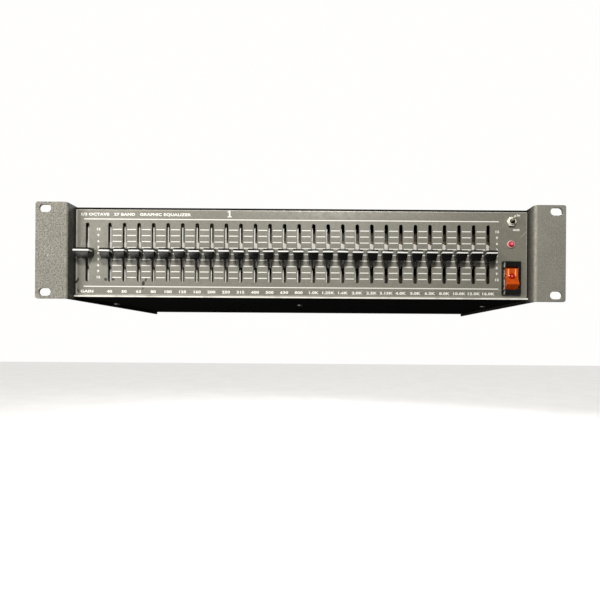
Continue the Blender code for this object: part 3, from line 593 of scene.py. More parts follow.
def plastic_finish(name, base, roughness, dust=0.25):
    """Moulded plastic: a faint grain, handling marks and some dust."""
    f = Finish(name)
    f.colour(mottled(f, base, 0.18, 220.0))
    specks = f.maths("GREATER_THAN", f.noise(1600.0, 2.0, shift=2.0), 0.7)
    f.over(specks, (0.22, 0.21, 0.19), dust)
    f.gloss(420.0, roughness - 0.07, roughness + 0.12, 4.0)
    f.bump(f.noise(2600.0, 2.0), 0.015 * MM, 0.5)
    return f.material


def metal_finish(
    name, base, roughness, stretch=(1.0, 1.0, 1.0), stain=(0.2, 0.17, 0.12), stained=0.25, share=1.0,
):
    """Plated or bare metal, drawn along one direction, with dull patches; share is its metallic part."""
    f = Finish(name, metallic=share)
    f.colour(mottled(f, base, 0.1, 300.0, stretch=stretch))
    patch = f.step(f.noise(120.0, 5.0, shift=4.0), 0.5, 0.72)
    f.over(patch, stain, stained)
    f.gloss(500.0, roughness - 0.08, roughness + 0.14, 3.0, stretch)
    f.bump(f.noise(1800.0, 2.0, stretch), 0.01 * MM, 0.5)
    return f.material


TIN = (0.97, 0.95, 0.87)


def housing_finish():
    """Tinned steel, dark brown behind its front lips: painted shade in the deep inside of the housing,
    tinted brown like old grease.
    """
    f = Finish("housing_grease_and_shade", metallic=0.1)
    f.colour(mottled(f, TIN, 0.1, 300.0, stretch=(1.0, 1.0, 0.1)))
    # Painted shade, tinted brown like old grease: the housing's inside behind its lips is painted dark.
    grease_and_shade = mottled(f, (0.075, 0.046, 0.016), 0.3, 120.0)
    deep = f.step(f.axis("Y"), POT_FRONT + 0.5 * MM, POT_FRONT + 1.2 * MM)
    f.over(deep, grease_and_shade)
    f.gloss(500.0, 0.45, 0.68)
    f.bump(f.noise(1800.0, 2.0), 0.01 * MM, 0.5)
    return f.material


def lens_finish(name, base, glow, strength):
    """Clear coloured plastic: gloss on top, with light let through and a little sent back."""
    f = Finish(
        name, ior=1.49, transmission_weight=0.35, coat_weight=0.4,
        emission_color=(*glow, 1.0), emission_strength=strength,
    )
    f.colour(mottled(f, base, 0.16, 260.0))
    f.gloss(700.0, 0.1, 0.26, 3.0)
    f.bump(f.noise(500.0, 2.0), 0.02 * MM, 0.4)
    return f.material


def bezel_finish():
    """Glossy black plastic, with a pale painted reflection along the left edge of its well, broken up by
    noise.
    """
    f = Finish("switch_black")
    f.colour(mottled(f, (0.012, 0.013, 0.012), 0.2, 220.0))
    # Painted reflection: a pale strip along the left wall of the well, where its glossy edge catches the
    # light.
    edge = f.step(f.apart(f.axis("X"), SWITCH.x - 6.75 * MM), 0.4 * MM, 1.0 * MM, 1.0, 0.0)
    dust = f.times(edge, f.step(f.noise(520.0, 3.0), 0.38, 0.62))
    f.over(dust, (0.42, 0.43, 0.385))
    f.gloss(420.0, 0.1, 0.24, 4.0)
    f.bump(f.noise(900.0, 2.0), 0.03 * MM, 0.5)
    return f.material


def board_finish(name, mask, copper):
    """A circuit board: solder mask over copper tracks that run across and along."""
    f = Finish(name)
    brick = f.node("ShaderNodeTexBrick", 0, {
        "Vector": f.place, "Scale": 120.0, "Mortar Size": 0.12,
        "Color1": (0.0, 0.0, 0.0), "Color2": (0.25, 0.25, 0.25), "Mortar": (1.0, 1.0, 1.0),
    })
    tracks = f.times(brick, f.step(f.noise(60.0, 2.0), 0.42, 0.5))
    f.colour(mottled(f, mask, 0.15, 90.0))
    f.over(tracks, copper)
    f.gloss(300.0, 0.32, 0.5)
    f.bump(tracks, 0.03 * MM, 0.5)
    return f.material


PAINT = ear_finish()
PANEL_PAINT = panel_finish()
COVER_PAINT = cover_finish("cover_paint", False)
LIP_PAINT = cover_finish("cover_paint_with_bare_highlit_lip", True)
WHITE_INK = ink_finish("white_ink", (0.93, 0.92, 0.87), 0.12)
KNOB_BLACK = plastic_finish("knob_black", (0.009, 0.009, 0.0085), 0.24, 0.12)
NYLON = plastic_finish("cream_nylon", (0.96, 0.94, 0.85), 0.42, 0.0)
SWITCH_BLACK = bezel_finish()
BAKELITE = plastic_finish("moulded_black", (0.02, 0.02, 0.019), 0.3, 0.15)
STEEL = metal_finish("zinc_plate", (0.66, 0.64, 0.58), 0.34, stain=(0.4, 0.36, 0.26))
POT_STEEL = metal_finish("tinned_steel", TIN, 0.55, (1.0, 1.0, 0.1), stain=(0.4, 0.34, 0.24), share=0.15)
NICKEL = metal_finish("nickel_plate", (0.78, 0.76, 0.7), 0.24, stained=0.15)
HOUSING = housing_finish()
CREAM_PLATE = metal_finish("dull_nickel_plate", (0.98, 0.95, 0.8), 0.35, stained=0.05, share=0.1)
LEVER_PLATE = metal_finish("rubbed_nickel_plate", (0.66, 0.63, 0.5), 0.4, stained=0.15, share=0.3)
BRASS = metal_finish("contact_brass", (0.72, 0.52, 0.24), 0.3)
PHENOLIC = board_finish("phenolic_board", (0.06, 0.034, 0.012), (0.11, 0.07, 0.024))
CARBON = board_finish("carbon_track", (0.01, 0.007, 0.004), (0.036, 0.022, 0.009))
GREEN_BOARD = board_finish("green_board", (0.03, 0.1, 0.035), (0.1, 0.2, 0.07))
CAN_BLUE = plastic_finish("capacitor_sleeve", (0.02, 0.06, 0.16), 0.3)
CABLE = plastic_finish("cable_sleeve", (0.3, 0.3, 0.29), 0.5)
TAPE = plastic_finish("winding_tape", (0.62, 0.42, 0.1), 0.35)
IRON = metal_finish("laminated_iron", (0.3, 0.27, 0.24), 0.5, stretch=(1.0, 12.0, 1.0))
RED_LENS = lens_finish("red_lens", (0.62, 0.008, 0.03), (0.9, 0.05, 0.1), 0.14)
# Painted highlight with the lamp's glow, for the top of the lens.
LAMP_HEART_AND_HIGHLIGHT = lens_finish("red_lens_heart_and_highlight", (1.0, 0.2, 0.3), (1.0, 0.25, 0.35), 0.3)
LAMP_RIM = plastic_finish("clear_lamp_rim", (0.76, 0.47, 0.45), 0.25, 0.0)
ORANGE = lens_finish("orange_rocker", (0.74, 0.105, 0.008), (0.9, 0.17, 0.02), 0.07)
PEACH = lens_finish("rocker_bars", (0.95, 0.42, 0.17), (1.0, 0.42, 0.18), 0.3)
JEWEL = lens_finish("rocker_jewel", (0.42, 0.01, 0.004), (0.8, 0.03, 0.01), 0.05)
PINK = lens_finish("rocker_jewel_heart", (0.9, 0.1, 0.07), (1.0, 0.2, 0.16), 0.3)


# ---------------------------------------------------------------- case

def side_plate(name, side):
    """The case's side and the rack ear, bent from one plate, with its two rack slots."""
    thick, bend, rise, span = 2.0 * MM, 3.2 * MM, 76.2 * MM, 465.1 * MM
    path = [(EAR_HIGH.x, FRONT_Y)]
    path += arc((CASE_HALF + bend, FRONT_Y + bend), bend, 270, 180, 14)
    path += [(CASE_HALF, EAR_HIGH.y)]
    height = EAR_HIGH.z - EAR_LOW.z
    plate = folded_sheet(path, -thick, height, Matrix.Translation((0, 0, EAR_MID)))
    corners = [
        e for e in plate.edges
        if all(abs(v.co.x - EAR_HIGH.x) < 1e-6 for v in e.verts)
        and abs(e.verts[0].co.z - e.verts[1].co.z) < 1e-6
    ]
    bevel(plate, corners, 2 * MM, 8)
    holes = []
    for s in (-1, 1):
        r, half, z = 7.1 * MM / 2, (11.0 - 7.1) * MM / 2, EAR_MID + s * rise / 2
        ends = arc((span / 2 + half, z), r, -90, 90, 14), arc((span / 2 - half, z), r, 90, 270, 14)
        holes.append(ends[0] + ends[1])
    plate = cut(plate, prism(holes, 4 * thick, facing_front(FRONT_Y + thick / 2)))
    if side < 0:
        plate.transform(Matrix.Scale(-1, 4, (1, 0, 0)))
        bmesh.ops.reverse_faces(plate, faces=plate.faces)
    piece(f"{name}_folded", plate, PAINT, edge=0.35, segments=3, stands_for=[name])


def front_panel():
    """The folded panel with its punched slots; their rims are slightly rounded."""
    bend, back, sheet = 0.6 * MM, PANEL_HIGH.y, 1.6 * MM
    low, high, inside = PANEL_LOW.z, PANEL_HIGH.z, PANEL_Y + sheet
    outline = [(back, high)] + arc((PANEL_Y + bend, high - bend), bend, 90, 180, 8)
    outline += arc((PANEL_Y + bend, low + bend), bend, 180, 270, 8) + [(back, low), (back, low + sheet)]
    outline += [(inside, low + sheet), (inside, high - sheet), (back, high - sheet)]
    panel = prism([outline], PANEL_HIGH.x - PANEL_LOW.x, facing_side(0.0))
    holes = [upright_slot(x, MID_Z, SLOT_WIDTH, SLOT_LENGTH) for x in SLOT_X.values()]
    holes.append(circle(TOGGLE.x, TOGGLE.z, 3.3 * MM))
    holes.append(circle(LED.x, LED.z, 3.3 * MM))
    holes.append(rectangle(SWITCH.x, SWITCH.z, 16.0 * MM, 28.6 * MM))
    panel = cut(panel, prism(holes, 4 * sheet, facing_front(PANEL_Y + sheet / 2)))
    node = "front_panel"
    piece(f"{node}_folded", panel, PANEL_PAINT, edge=0.22, stands_for=[node])


def top_cover():
    """The upper sheet with its side flanges and a row of vents."""
    low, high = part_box("top_cover")
    sheet = 1.5 * MM
    made = box((low.x, low.y, high.z - sheet), high)
    flanges = bmesh.new()
    for x_low, x_high in ((low.x, low.x + sheet), (high.x - sheet, high.x)):
        box((x_low, PANEL_Y + 16 * MM, low.z), (x_high, REAR_Y - 3 * MM, high.z - 0.3 * MM), flanges)
    made = union(made, flanges)
    rows = [upright_slot((110 + 9 * i) * MM, 0.0, 3 * MM, 44 * MM) for i in range(10)]
    made = cut(made, prism(rows, 4 * sheet, Matrix.Translation((0, REAR_Y - 95 * MM, high.z))))
    piece("top_cover_sheet", made, COVER_PAINT, edge=0.25, stands_for=["top_cover"])


def recessed_screw(node, base, out, radius, height):
    """A zinc pan head with a cross recess, standing on base and facing along out."""
    crown = [(0.0, height)]
    for degrees in range(12, 90, 13):
        a = math.radians(degrees)
        crown.append((radius * math.sin(a) * 0.97, height * (0.55 + 0.45 * math.cos(a))))
    crown += [(radius, height * 0.45), (radius * 0.98, 0.0), (0.0, 0.0)]
    arm, half = radius * 0.62, 0.42 * MM
    low, high = height * 0.25, height + 1 * MM
    cross = union(box((-arm, -half, low), (arm, half, high)), box((-half, -arm, low), (half, arm, high)))
    head = cut(spun(crown, Matrix.Identity(4), 32), cross)
    made = union(head, rod((0, 0, -4 * MM), (0, 0, 0.2 * MM), 1.45 * MM, 20))
    turn = Vector(out).to_track_quat("Z", "Y").to_matrix().to_4x4()
    made.transform(Matrix.Translation(base) @ turn)
    piece(f"{node}_head", made, STEEL, edge=0.06, stands_for=[node])


def case():
    side_plate("side_plate_left", -1)
    side_plate("side_plate_right", 1)
    front_panel()
    top_cover()
    repaint("bottom_cover", LIP_PAINT)
    repaint("rear_panel", COVER_PAINT)
    for name in ("left", "middle", "right"):
        node = f"bottom_screw_{name}"
        middle, height = centre_of(node), 1.8 * MM
        base = (middle.x, middle.y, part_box(node)[0].z + height)
        recessed_screw(node, base, (0, 0, -1), 3.1 * MM, height)
    repaint("cross_brace", STEEL, edge=0.2)


# ---------------------------------------------------------------- printing

def legends():
    """The lines and words printed on the front, as thin raised shapes in one mesh."""
    shapes, front, back = bmesh.new(), PANEL_Y - INK, PANEL_Y + 0.01 * MM
    for s in (-1, 1):
        bar(-9.5 * MM, MID_Z + (s * 31.6 - 0.55) * MM, 194.5, 0.45, front, back, shapes)
    bands = [SLOT_X[name] for name in SLIDERS[1:]]
    levels = [(step, GRID_MIDDLE + step * GRID_STEP) for step in range(-4, 5)]
    for left in bands[:-1]:
        for _, z in levels:
            bar(left + BAND_PITCH / 2, z, 4.15, 0.42, front, back, shapes)
    words = [shapes]
    for name, label in zip(SLIDERS, ("GAIN", *BAND_LABELS)):
        words.append(lettering(label, 3.3 * MM, SLOT_X[name], MID_Z - 36.9 * MM, 1.45))
    for step, z in levels:
        for x in (bands[0] - 10.8 * MM, bands[-1] + 8.2 * MM):
            words.append(lettering(str(abs(step) * 3), 2.9 * MM, x, z, 1.3))
    header = "1/3 OCTAVE   27 BAND   GRAPHIC EQUALIZER"
    words.append(lettering(header, 3.4 * MM, -207.3 * MM, MID_Z + 35.4 * MM, 1.38, "LEFT"))
    words.append(lettering("in", 3.2 * MM, TOGGLE.x + 6.9 * MM, TOGGLE.z + 6.3 * MM, 1.3))
    words.append(lettering("out", 3.2 * MM, TOGGLE.x + 4.9 * MM, TOGGLE.z - 7.3 * MM, 1.3))
    piece("panel_lettering", joined(*words), WHITE_INK)


def channel_numeral():
    """The unit's own numeral in the header, with serifs, drawn as one outline."""
    outline = mm(
        (-2.0, 0.0), (2.0, 0.0), (2.0, 0.7), (0.75, 1.1), (0.75, 6.4), (-0.45, 6.4),
        (-2.0, 5.1), (-2.0, 4.4), (-0.75, 4.9), (-0.75, 1.1), (-2.0, 0.7),
    )
    place = facing_front(PANEL_Y - INK / 2) @ Matrix.Translation((-67.5 * MM, MID_Z + 33.4 * MM, 0))
    piece("channel_numeral", prism([outline], INK, place), WHITE_INK)


# ---------------------------------------------------------------- sliders

def cap_mesh(width, taper):
    """A cap with a level ridge near its top and a long slanted face under it, narrowing downwards."""
    ridge = KNOB_RIDGE / 2
    outline = [
        (-KNOB_LOW, -0.88 * KNOB_DROP), (-KNOB_SHOULDER, -KNOB_DROP), (-KNOB_TOP, -ridge),
        (-KNOB_TOP, ridge), (ridge - KNOB_TOP, 0.75 * KNOB_RISE), (-KNOB_LOW, KNOB_RISE),
        (-KNOB_LOW, -ridge),
    ]
    knob = prism([outline], width, facing_side(0.0))
    for v in knob.verts:
        below = max(0.0, -v.co.z - ridge) / (KNOB_DROP - ridge)
        v.co.x *= 1 - taper * below
    knob.transform(Matrix.Translation((0, 0, RIDGE_SHIFT)))
    bmesh.ops.recalc_face_normals(knob, faces=knob.faces)
    sides = [e for e in knob.edges if e.is_manifold and e.calc_face_angle(0.0) > 0.3]
    bevel(knob, sides, 0.28 * MM, 3)
    return mesh_of(knob, f"cap_{round(width / MM)}")


def line_mesh(width):
    """The white line: a strip over the ridge that runs back along both ends of the cap."""
    half, front, back = width / 2 + 0.05 * MM, -KNOB_TOP - 0.05 * MM, -6.0 * MM
    r = 0.35 * MM
    path = [(-half, back)] + arc((-half + r, front + r), r, 180, 270, 5)
    path += arc((half - r, front + r), r, 270, 360, 5) + [(half, back)]
    strip = folded_sheet(path, 0.3 * MM, 1.2 * MM, Matrix.Translation((0, 0, RIDGE_SHIFT - 0.25 * MM)))
    return mesh_of(strip, f"line_{round(width / MM)}")


def lever_mesh():
    """The flat steel lever between the cap and the carriage, with its pressed stop."""
    x = 0.1 * MM
    blade = bar(x, 0, 0.6, 2, -4.5 * MM, POT_FRONT - PANEL_Y)
    stop = bar(x, 0, 0.75, 2.6, 0.6 * MM, 1.6 * MM)
    return mesh_of(union(blade, stop), "lever")


def carriage_mesh():
    """The nylon carriage: its front tab in the slot, a neck and the runner in the housing."""
    x, half, front = -0.45 * MM, 1.15 * MM, POT_FRONT - PANEL_Y
    outline, r = [], 0.7 * MM
    for z, a, s in ((10.2 * MM, 0, 1), (-13.0 * MM, 180, -1)):
        outline += arc((x + s * (half - r), z - s * r), r, a, a + 90, 4)
        outline += arc((x - s * (half - r), z - s * r), r, a + 90, a + 180, 4)
    tab = prism([outline], 1.3 * MM, facing_front(front - 0.95 * MM))
    neck = bar(0.55 * MM, 0, 0.75, 8, front - 1 * MM, front + 2.5 * MM)
    runner = bar(1.45 * MM, 0, 2.6, 10, front + 1.2 * MM, front + 4.2 * MM)
    return mesh_of(union(tab, neck, runner), "carriage")


def contact_mesh():
    """The brown contact carrier that shows above the tab."""
    front = POT_FRONT - PANEL_Y
    plate = bar(1.35 * MM, 11.5 * MM, 2.25, 1.7, front + 1.3 * MM, front + 2.4 * MM)
    return mesh_of(plate, "contact")


def sliders():
    """Each slider's cap, line, lever and carriage, with a cap's usual small play."""
    play = random.Random(27)
    caps = {True: cap_mesh(GAIN_CAP, 0.38), False: cap_mesh(BAND_CAP, 0.2)}
    lines = {True: line_mesh(GAIN_CAP), False: line_mesh(BAND_CAP)}
    lever, carriage, contact = lever_mesh(), carriage_mesh(), contact_mesh()
    for name in SLIDERS:
        wide = name == "slider_gain"
        tilt, lift = play.uniform(-0.9, 0.9), play.uniform(-0.25, 0.25) * MM
        place = Matrix.Translation((SLOT_X[name], PANEL_Y, MID_Z))
        loose = place @ Matrix.Translation((0, 0, lift)) @ Matrix.Rotation(math.radians(tilt), 4, "Y")
        piece(f"{name}_cap", caps[wide], KNOB_BLACK, name, stands_for=[name], at=loose)
        piece(f"{name}_line", lines[wide], WHITE_INK, name, at=loose)
        piece(f"{name}_lever", lever, POT_STEEL, name, at=place)
        piece(f"{name}_carriage", carriage, NYLON, name, at=place)
        piece(f"{name}_contact", contact, PHENOLIC, name, at=place)


def slider_housings():
    """28 folded steel housings with their tracks, riveted to one upright board."""
    shift, half, gap, wall, lip = 1.45 * MM, 3.6 * MM, 2.4 * MM, 0.7 * MM, 0.9 * MM
    length, deep, back = 72.0 * MM, POT_FRONT + 5.4 * MM, POT_FRONT + 9.0 * MM
    shells, tracks, rivets = [], bmesh.new(), bmesh.new()
    for x in SLOT_X.values():
        c, inside = x + shift, half - wall
        for s in (-1, 1):
            shells.append([
                (c + s * half, POT_FRONT), (c + s * gap, POT_FRONT), (c + s * gap, POT_FRONT + lip),
                (c + s * inside, POT_FRONT + lip), (c + s * inside, back), (c + s * half, back),
            ])
            z = MID_Z + s * (length / 2 + 1.6 * MM)
            rod((c, POT_FRONT + 7.6 * MM, z), (c, back + 0.2 * MM, z), 1.3 * MM, 16, rivets)
        box((c - inside, deep, MID_Z - length / 2), (c + inside, back, MID_Z + length / 2), tracks)
    housings = prism(shells, length, Matrix.Translation((0, 0, MID_Z)))
    node = "slide_pot_board"
    piece("slider_housings", housings, HOUSING, edge=0.12, stands_for=[node])
    piece("slider_tracks", tracks, CARBON)
    piece("slider_rivets", rivets, STEEL, edge=0.2)
    board = box((POT_LOW.x, back, POT_LOW.z), POT_HIGH)
    piece("slider_circuit_board", board, PHENOLIC, edge=0.15)


# ---------------------------------------------------------------- toggle, lamp and power switch

def threaded(radius, low, high, pitch, depth):
    """The outer profile of a fine thread, from the top down."""
    root, profile = radius - depth, []
    for i in range(int((high - low) / pitch)):
        z = high - i * pitch
        profile += [(root, z), (radius, z - pitch * 0.35), (radius, z - pitch * 0.55)]
        profile.append((root, z - pitch * 0.9))
    return profile + [(root, low)]


def hexagon_nut(radius, low, high, bore, matrix):
    """A six-sided nut with its corners turned off on both faces."""
    nut = rod((0, 0, low), (0, 0, high), radius, 6)
    nut.transform(Matrix.Rotation(math.radians(30), 4, "Z"))
    c, past = radius * 0.13, radius + 0.1 * MM
    turned = [(0, high), (radius - c, high), (past, high - c * 0.7)]
    turned += [(past, low + c * 0.7), (radius - c, low), (0, low)]
    nut = combine("INTERSECT", nut, spun(turned, Matrix.Identity(4), 48))
    nut = cut(nut, rod((0, 0, low - 1 * MM), (0, 0, high + 1 * MM), bore, 40))
    nut.transform(matrix)
    return nut


def toggle_switch():
    """The switch behind the panel, its threaded bushing with a black lining in its bore as painted
    shade, and the nut.
    """
    out = outwards(TOGGLE.x, PANEL_Y, TOGGLE.z)
    outer = mm((2.6, 3.5), (2.85, 3.25)) + threaded(2.98 * MM, -3.2 * MM, 3.1 * MM, 0.55 * MM, 0.22 * MM)
    bushing = spun(outer + mm((1.9, -3.2), (1.9, 0.2), (2.45, 3.5)), out, 40)
    low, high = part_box("toggle_switch")
    body = box((low.x, PANEL_BACK + 0.3 * MM, low.z), high)
    terminals = bmesh.new()
    for z in (-4.2, 0.0, 4.2):
        bar(TOGGLE.x, TOGGLE.z + z * MM, 1, 0.4, high.y - 0.2 * MM, high.y - 0.05 * MM, terminals)
    piece("toggle_bushing", bushing, CREAM_PLATE, stands_for=["toggle_switch"])
    # Painted shade: a black lining in the bushing's bore stands in for the shade inside it.
    bore_shade = mm((1.6, -3.2), (1.88, -3.2), (1.88, 0.15), (2.4, 3.4), (2.2, 3.4), (1.6, 0.1))
    piece("toggle_bore_shade", spun(bore_shade, out, 40), BAKELITE)
    piece("toggle_body", joined(body, terminals), BAKELITE, edge=0.3)
    nut = hexagon_nut(4.6 * MM, 0.3 * MM, 2.3 * MM, 2.98 * MM, out)
    piece("toggle_nut_turned", nut, CREAM_PLATE, edge=0.08, stands_for=["toggle_nut"])


def toggle_lever():
    """The ball-ended lever, tilted up from its pivot in the bushing."""
    tip, ball = 11.7 * MM, 1.45 * MM
    profile = arc((0, tip - ball), ball, 90, 0, 8) + [(ball, tip - ball - 0.3 * MM)]
    profile += mm((1.32, 8.3), (0.98, 1.3)) + arc((0, 0), 1.5 * MM, 42, -90, 8)
    pivot = Matrix.Translation((TOGGLE.x, PANEL_Y + 1.0 * MM, TOGGLE.z))
    lever = spun(profile, pivot @ Matrix.Rotation(math.radians(78), 4, "X"), 36)
    name = "toggle_lever"
    piece(f"{name}_turned", lever, LEVER_PLATE, name, stands_for=[name])


def lamp():
    """A domed red lens in a rim that catches the light."""
    out = outwards(LED.x, PANEL_Y, LED.z)
    r, centre = 2.45 * MM, (0, 1.12 * MM)
    lens = arc(centre, r, 90, 0, 12) + mm((2.45, 1.3), (2.2, 1.2), (2.2, -5.0), (0.0, -5.0))
    piece("led_lens", spun(lens, out, 48), RED_LENS, stands_for=["led_lamp"])
    # Painted highlight with the lamp's glow: a pale pink glowing cap on the top of the dome.
    heart = arc(centre, r + 0.02 * MM, 90, 64, 6) + arc(centre, r - 0.15 * MM, 64, 90, 6)
    piece("led_heart_and_highlight", spun(heart, out, 40), LAMP_HEART_AND_HIGHLIGHT)
    ring = mm((2.55, 0.7), (2.75, 1.05), (3.2, 1.05), (3.55, 0.75), (3.68, 0.35), (3.0, 0.3))
    ring += mm((3.0, -3.5), (2.55, -3.5))
    piece("led_rim", spun(ring, out, 48), LAMP_RIM, stands_for=["led_bezel"])


def switch_frame():
    """The rocker's snap-in frame: a rounded flange on the panel and a body with an open well."""
    low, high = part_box("power_switch_housing")
    flange = box(low, (high.x, PANEL_Y - 0.3 * MM, high.z))
    round_corners(flange, 1.0 * MM, 4)
    body = bar(SWITCH.x, SWITCH.z, 7.7, 14, PANEL_Y - 1 * MM, high.y)
    well = bar(SWITCH.x, SWITCH.z, 6.1, 10.9, PANEL_Y - 10 * MM, PANEL_Y + 8.2 * MM)
    shape = cut(union(flange, body), well)
    node = "power_switch_housing"
    piece("power_switch_frame", shape, SWITCH_BLACK, edge=0.35, segments=3,
          stands_for=[node])


def rocker():
    """The translucent rocker, tipped to its rest position, with two light bars and a round jewel."""
    at = Matrix.Translation((SWITCH.x, PANEL_Y + 1.5 * MM, SWITCH.z))
    at = at @ Matrix.Rotation(math.radians(-10.0), 4, "X")
    body, slot = "power_rocker", "orange_lens"
    face = mm((-6.2, 7.6), (-4.1, 0.0), (-6.2, -7.6))
    outline = arc((0, 0), 10.6 * MM, 70, 92, 8) + face + arc((0, 0), 10.6 * MM, 268, 290, 8)
    shell = prism([outline], 11.6 * MM, facing_side(0.0))
    piece("power_rocker_shell", shell, ORANGE, body, 0.4, 3, [body], at)
    path = mm((-4.3, 0.6), (-6.13, 7.4))
    strip = beside(path, -0.4 * MM) + beside(path, 0.12 * MM)[::-1]
    bars = joined(*(prism([strip], 1.25 * MM, facing_side(side * 3.3 * MM)) for side in (-1, 1)))
    piece("power_rocker_bars", bars, PEACH, body, edge=0.2, at=at)
    seat = Matrix.Translation((0, -4.3 * MM, 0.7 * MM)) @ Matrix.Rotation(math.radians(90), 4, "X")
    ring = mm((1.1, 0.8), (2.1, 0.95), (2.8, 0.7), (3.2, 0.1), (3.2, -0.6), (1.1, -0.6))
    piece("power_rocker_jewel", spun(ring, seat, 48), JEWEL, body, at=at)
    heart = arc((0, 0), 1.12 * MM, 90, 0, 8) + mm((1.12, -0.6), (0.0, -0.6))
    piece("power_rocker_jewel_heart", spun(heart, seat, 40), PINK, body, at=at)


# ---------------------------------------------------------------- rear connectors

def jack(name):
    """A quarter-inch socket: its body and spring inside, its bushing and nut outside."""
    low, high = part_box(name)
    x, z = (low.x + high.x) / 2, (low.z + high.z) / 2
    out = backwards(x, REAR_Y, z)
    outer = mm((4.2, 4.5), (4.6, 4.2)) + threaded(4.74 * MM, -2.1 * MM, 4.0 * MM, 0.8 * MM, 0.3 * MM)
    bushing = spun(outer + mm((3.25, -2.1), (3.25, 4.1), (3.6, 4.5)), out, 48)
    piece(f"{name}_bushing", bushing, NICKEL)
    body = box(low, (high.x, REAR_Y - 1.9 * MM, high.z))
    hole = rod((x, REAR_Y - 23.6 * MM, z), (x, REAR_Y, z), 3.3 * MM, 40)
    piece(f"{name}_body", cut(body, hole), BAKELITE, edge=0.5, stands_for=[name])
    spring = bar(x, z + 2.7 * MM, 1.2, 0.2, REAR_Y - 21 * MM, REAR_Y - 6 * MM)
    piece(f"{name}_spring", spring, BRASS, edge=0.1)
    nut = hexagon_nut(7.3 * MM, 0.3 * MM, 2.6 * MM, 4.74 * MM, out)
    piece(f"{name}_nut_turned", nut, NICKEL, edge=0.1, stands_for=[f"{name}_nut"])


def rear_legends():
    """Plain words above the connectors, printed on the rear panel."""
    turn = Matrix.Rotation(math.radians(180), 4, "Z") @ Matrix.Rotation(math.radians(90), 4, "X")
    face = Matrix.Translation((0, REAR_Y + INK / 2, 0)) @ turn
    words = []
    for node, text, rise in (
        ("input_jack", "INPUT", 13.0), ("output_jack", "OUTPUT", 13.0),
        ("fuse_holder", "FUSE", 13.0), ("mains_inlet", "MAINS", 17.0),
    ):
        middle = centre_of(node)
        words.append(lettering(text, 4.0 * MM, -middle.x, middle.z + rise * MM, 1.3, face=face))
    piece("rear_lettering", joined(*words), WHITE_INK)


def fuse():
    """The holder's barrel with its flange, and a bayonet cap with grip flutes and a coin slot."""
    middle = centre_of("fuse_holder")
    out = backwards(middle.x, REAR_Y, middle.z)
    barrel = mm((3.8, 3.0), (7.4, 3.0), (8.0, 2.4), (8.0, 0.3), (6.0, 0.3), (6.0, -34), (3.8, -34))
    piece("fuse_barrel", spun(barrel, out, 48), BAKELITE, stands_for=["fuse_holder"])
    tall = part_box("fuse_cap")[1].y - REAR_Y
    profile = [(0, tall), (5.5 * MM, tall), (6.0 * MM, tall - 0.5 * MM)]
    profile += mm((6.5, 3.4), (3.4, 3.35), (3.4, -26), (0, -26))
    flutes = bmesh.new()
    for i in range(24):
        a = math.tau * i / 24
        x, y = 6.75 * MM * math.cos(a), 6.75 * MM * math.sin(a)
        rod((x, y, 3.2 * MM), (x, y, tall + 1 * MM), 0.45 * MM, 8, flutes)
    slot = bar(0, tall - 0.3 * MM, 5, 1.3, -0.8 * MM, 0.8 * MM)
    cap = cut(spun(profile, Matrix.Identity(4), 48), flutes, slot)
    cap.transform(out)
    piece("fuse_cap_fluted", cap, BAKELITE, edge=0.1, stands_for=["fuse_cap"])


def mains_inlet():
    """The appliance inlet: a rounded flange, a shaped well and three flat pins."""
    low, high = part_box("mains_inlet")
    x, z, inner = (low.x + high.x) / 2, (low.z + high.z) / 2, REAR_Y + 0.3 * MM
    flange = box((low.x, inner, low.z), (high.x, inner + 3 * MM, high.z))
    round_corners(flange, 4 * MM, 8)
    body = bar(x, z, 13.5, 9.9, low.y, inner + 1 * MM)
    mouth = mm((-12.2, -8.3), (12.2, -8.3), (12.2, 4.3), (8.2, 8.3), (-8.2, 8.3), (-12.2, 4.3))
    deep = 17.5 * MM
    floor = inner + 5 * MM - deep
    well = prism([mouth], deep, facing_front(floor + deep / 2) @ Matrix.Translation((x, z, 0)))
    holes, pins = bmesh.new(), bmesh.new()
    for hole in (x - 20 * MM, x + 20 * MM):
        rod((hole, inner - 1 * MM, z), (hole, inner + 4 * MM, z), 1.8 * MM, 24, holes)
    shell = cut(union(flange, body), well, holes)
    node = "mains_inlet"
    piece("mains_inlet_shell", shell, BAKELITE, edge=0.3, stands_for=[node])
    for dx, dz in ((-7.0, -1.5), (7.0, -1.5), (0.0, 3.0)):
        bar(x + dx * MM, z + dz * MM, 1, 2, floor - 0.5 * MM, floor + 12 * MM, pins)
    piece("mains_inlet_pins", pins, NICKEL, edge=0.4)
    for node in ("inlet_screw_left", "inlet_screw_right"):
        at = centre_of(node)
        recessed_screw(node, (at.x, inner + 3 * MM, at.z), (0, 1, 0), 2.9 * MM, 2.0 * MM)


# ---------------------------------------------------------------- inside

def filter_board():
    """The main board with its chips and capacitors."""
    node = "filter_board"
    low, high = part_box(node)
    top = low.z + 1.6 * MM
    base = box(low, (high.x, high.y, top))
    piece("filter_board_base", base, GREEN_BOARD, edge=0.15, stands_for=[node])
    chips, legs, cans = bmesh.new(), bmesh.new(), bmesh.new()
    for i in range(14):
        x, y = low.x + (14 + 19 * i) * MM, low.y + 28 * MM
        box((x, y, top + 0.6 * MM), (x + 9 * MM, y + 20 * MM, top + 3.9 * MM), chips)
        for k in range(7):
            for side in (x - 0.5 * MM, x + 9 * MM):
                at = y + (1.9 + 2.54 * k) * MM
                box((side, at, top), (side + 0.5 * MM, at + 1.2 * MM, top + 2.4 * MM), legs)
        for y in (low.y + 68 * MM, low.y + 90 * MM):
            rod((x + 4 * MM, y, top), (x + 4 * MM, y, high.z), 3.5 * MM, 24, cans)
    piece("filter_chips", chips, BAKELITE, edge=0.3)
    piece("filter_chip_legs", legs, STEEL, edge=0.1)
    piece("filter_capacitors", cans, CAN_BLUE, edge=0.5)


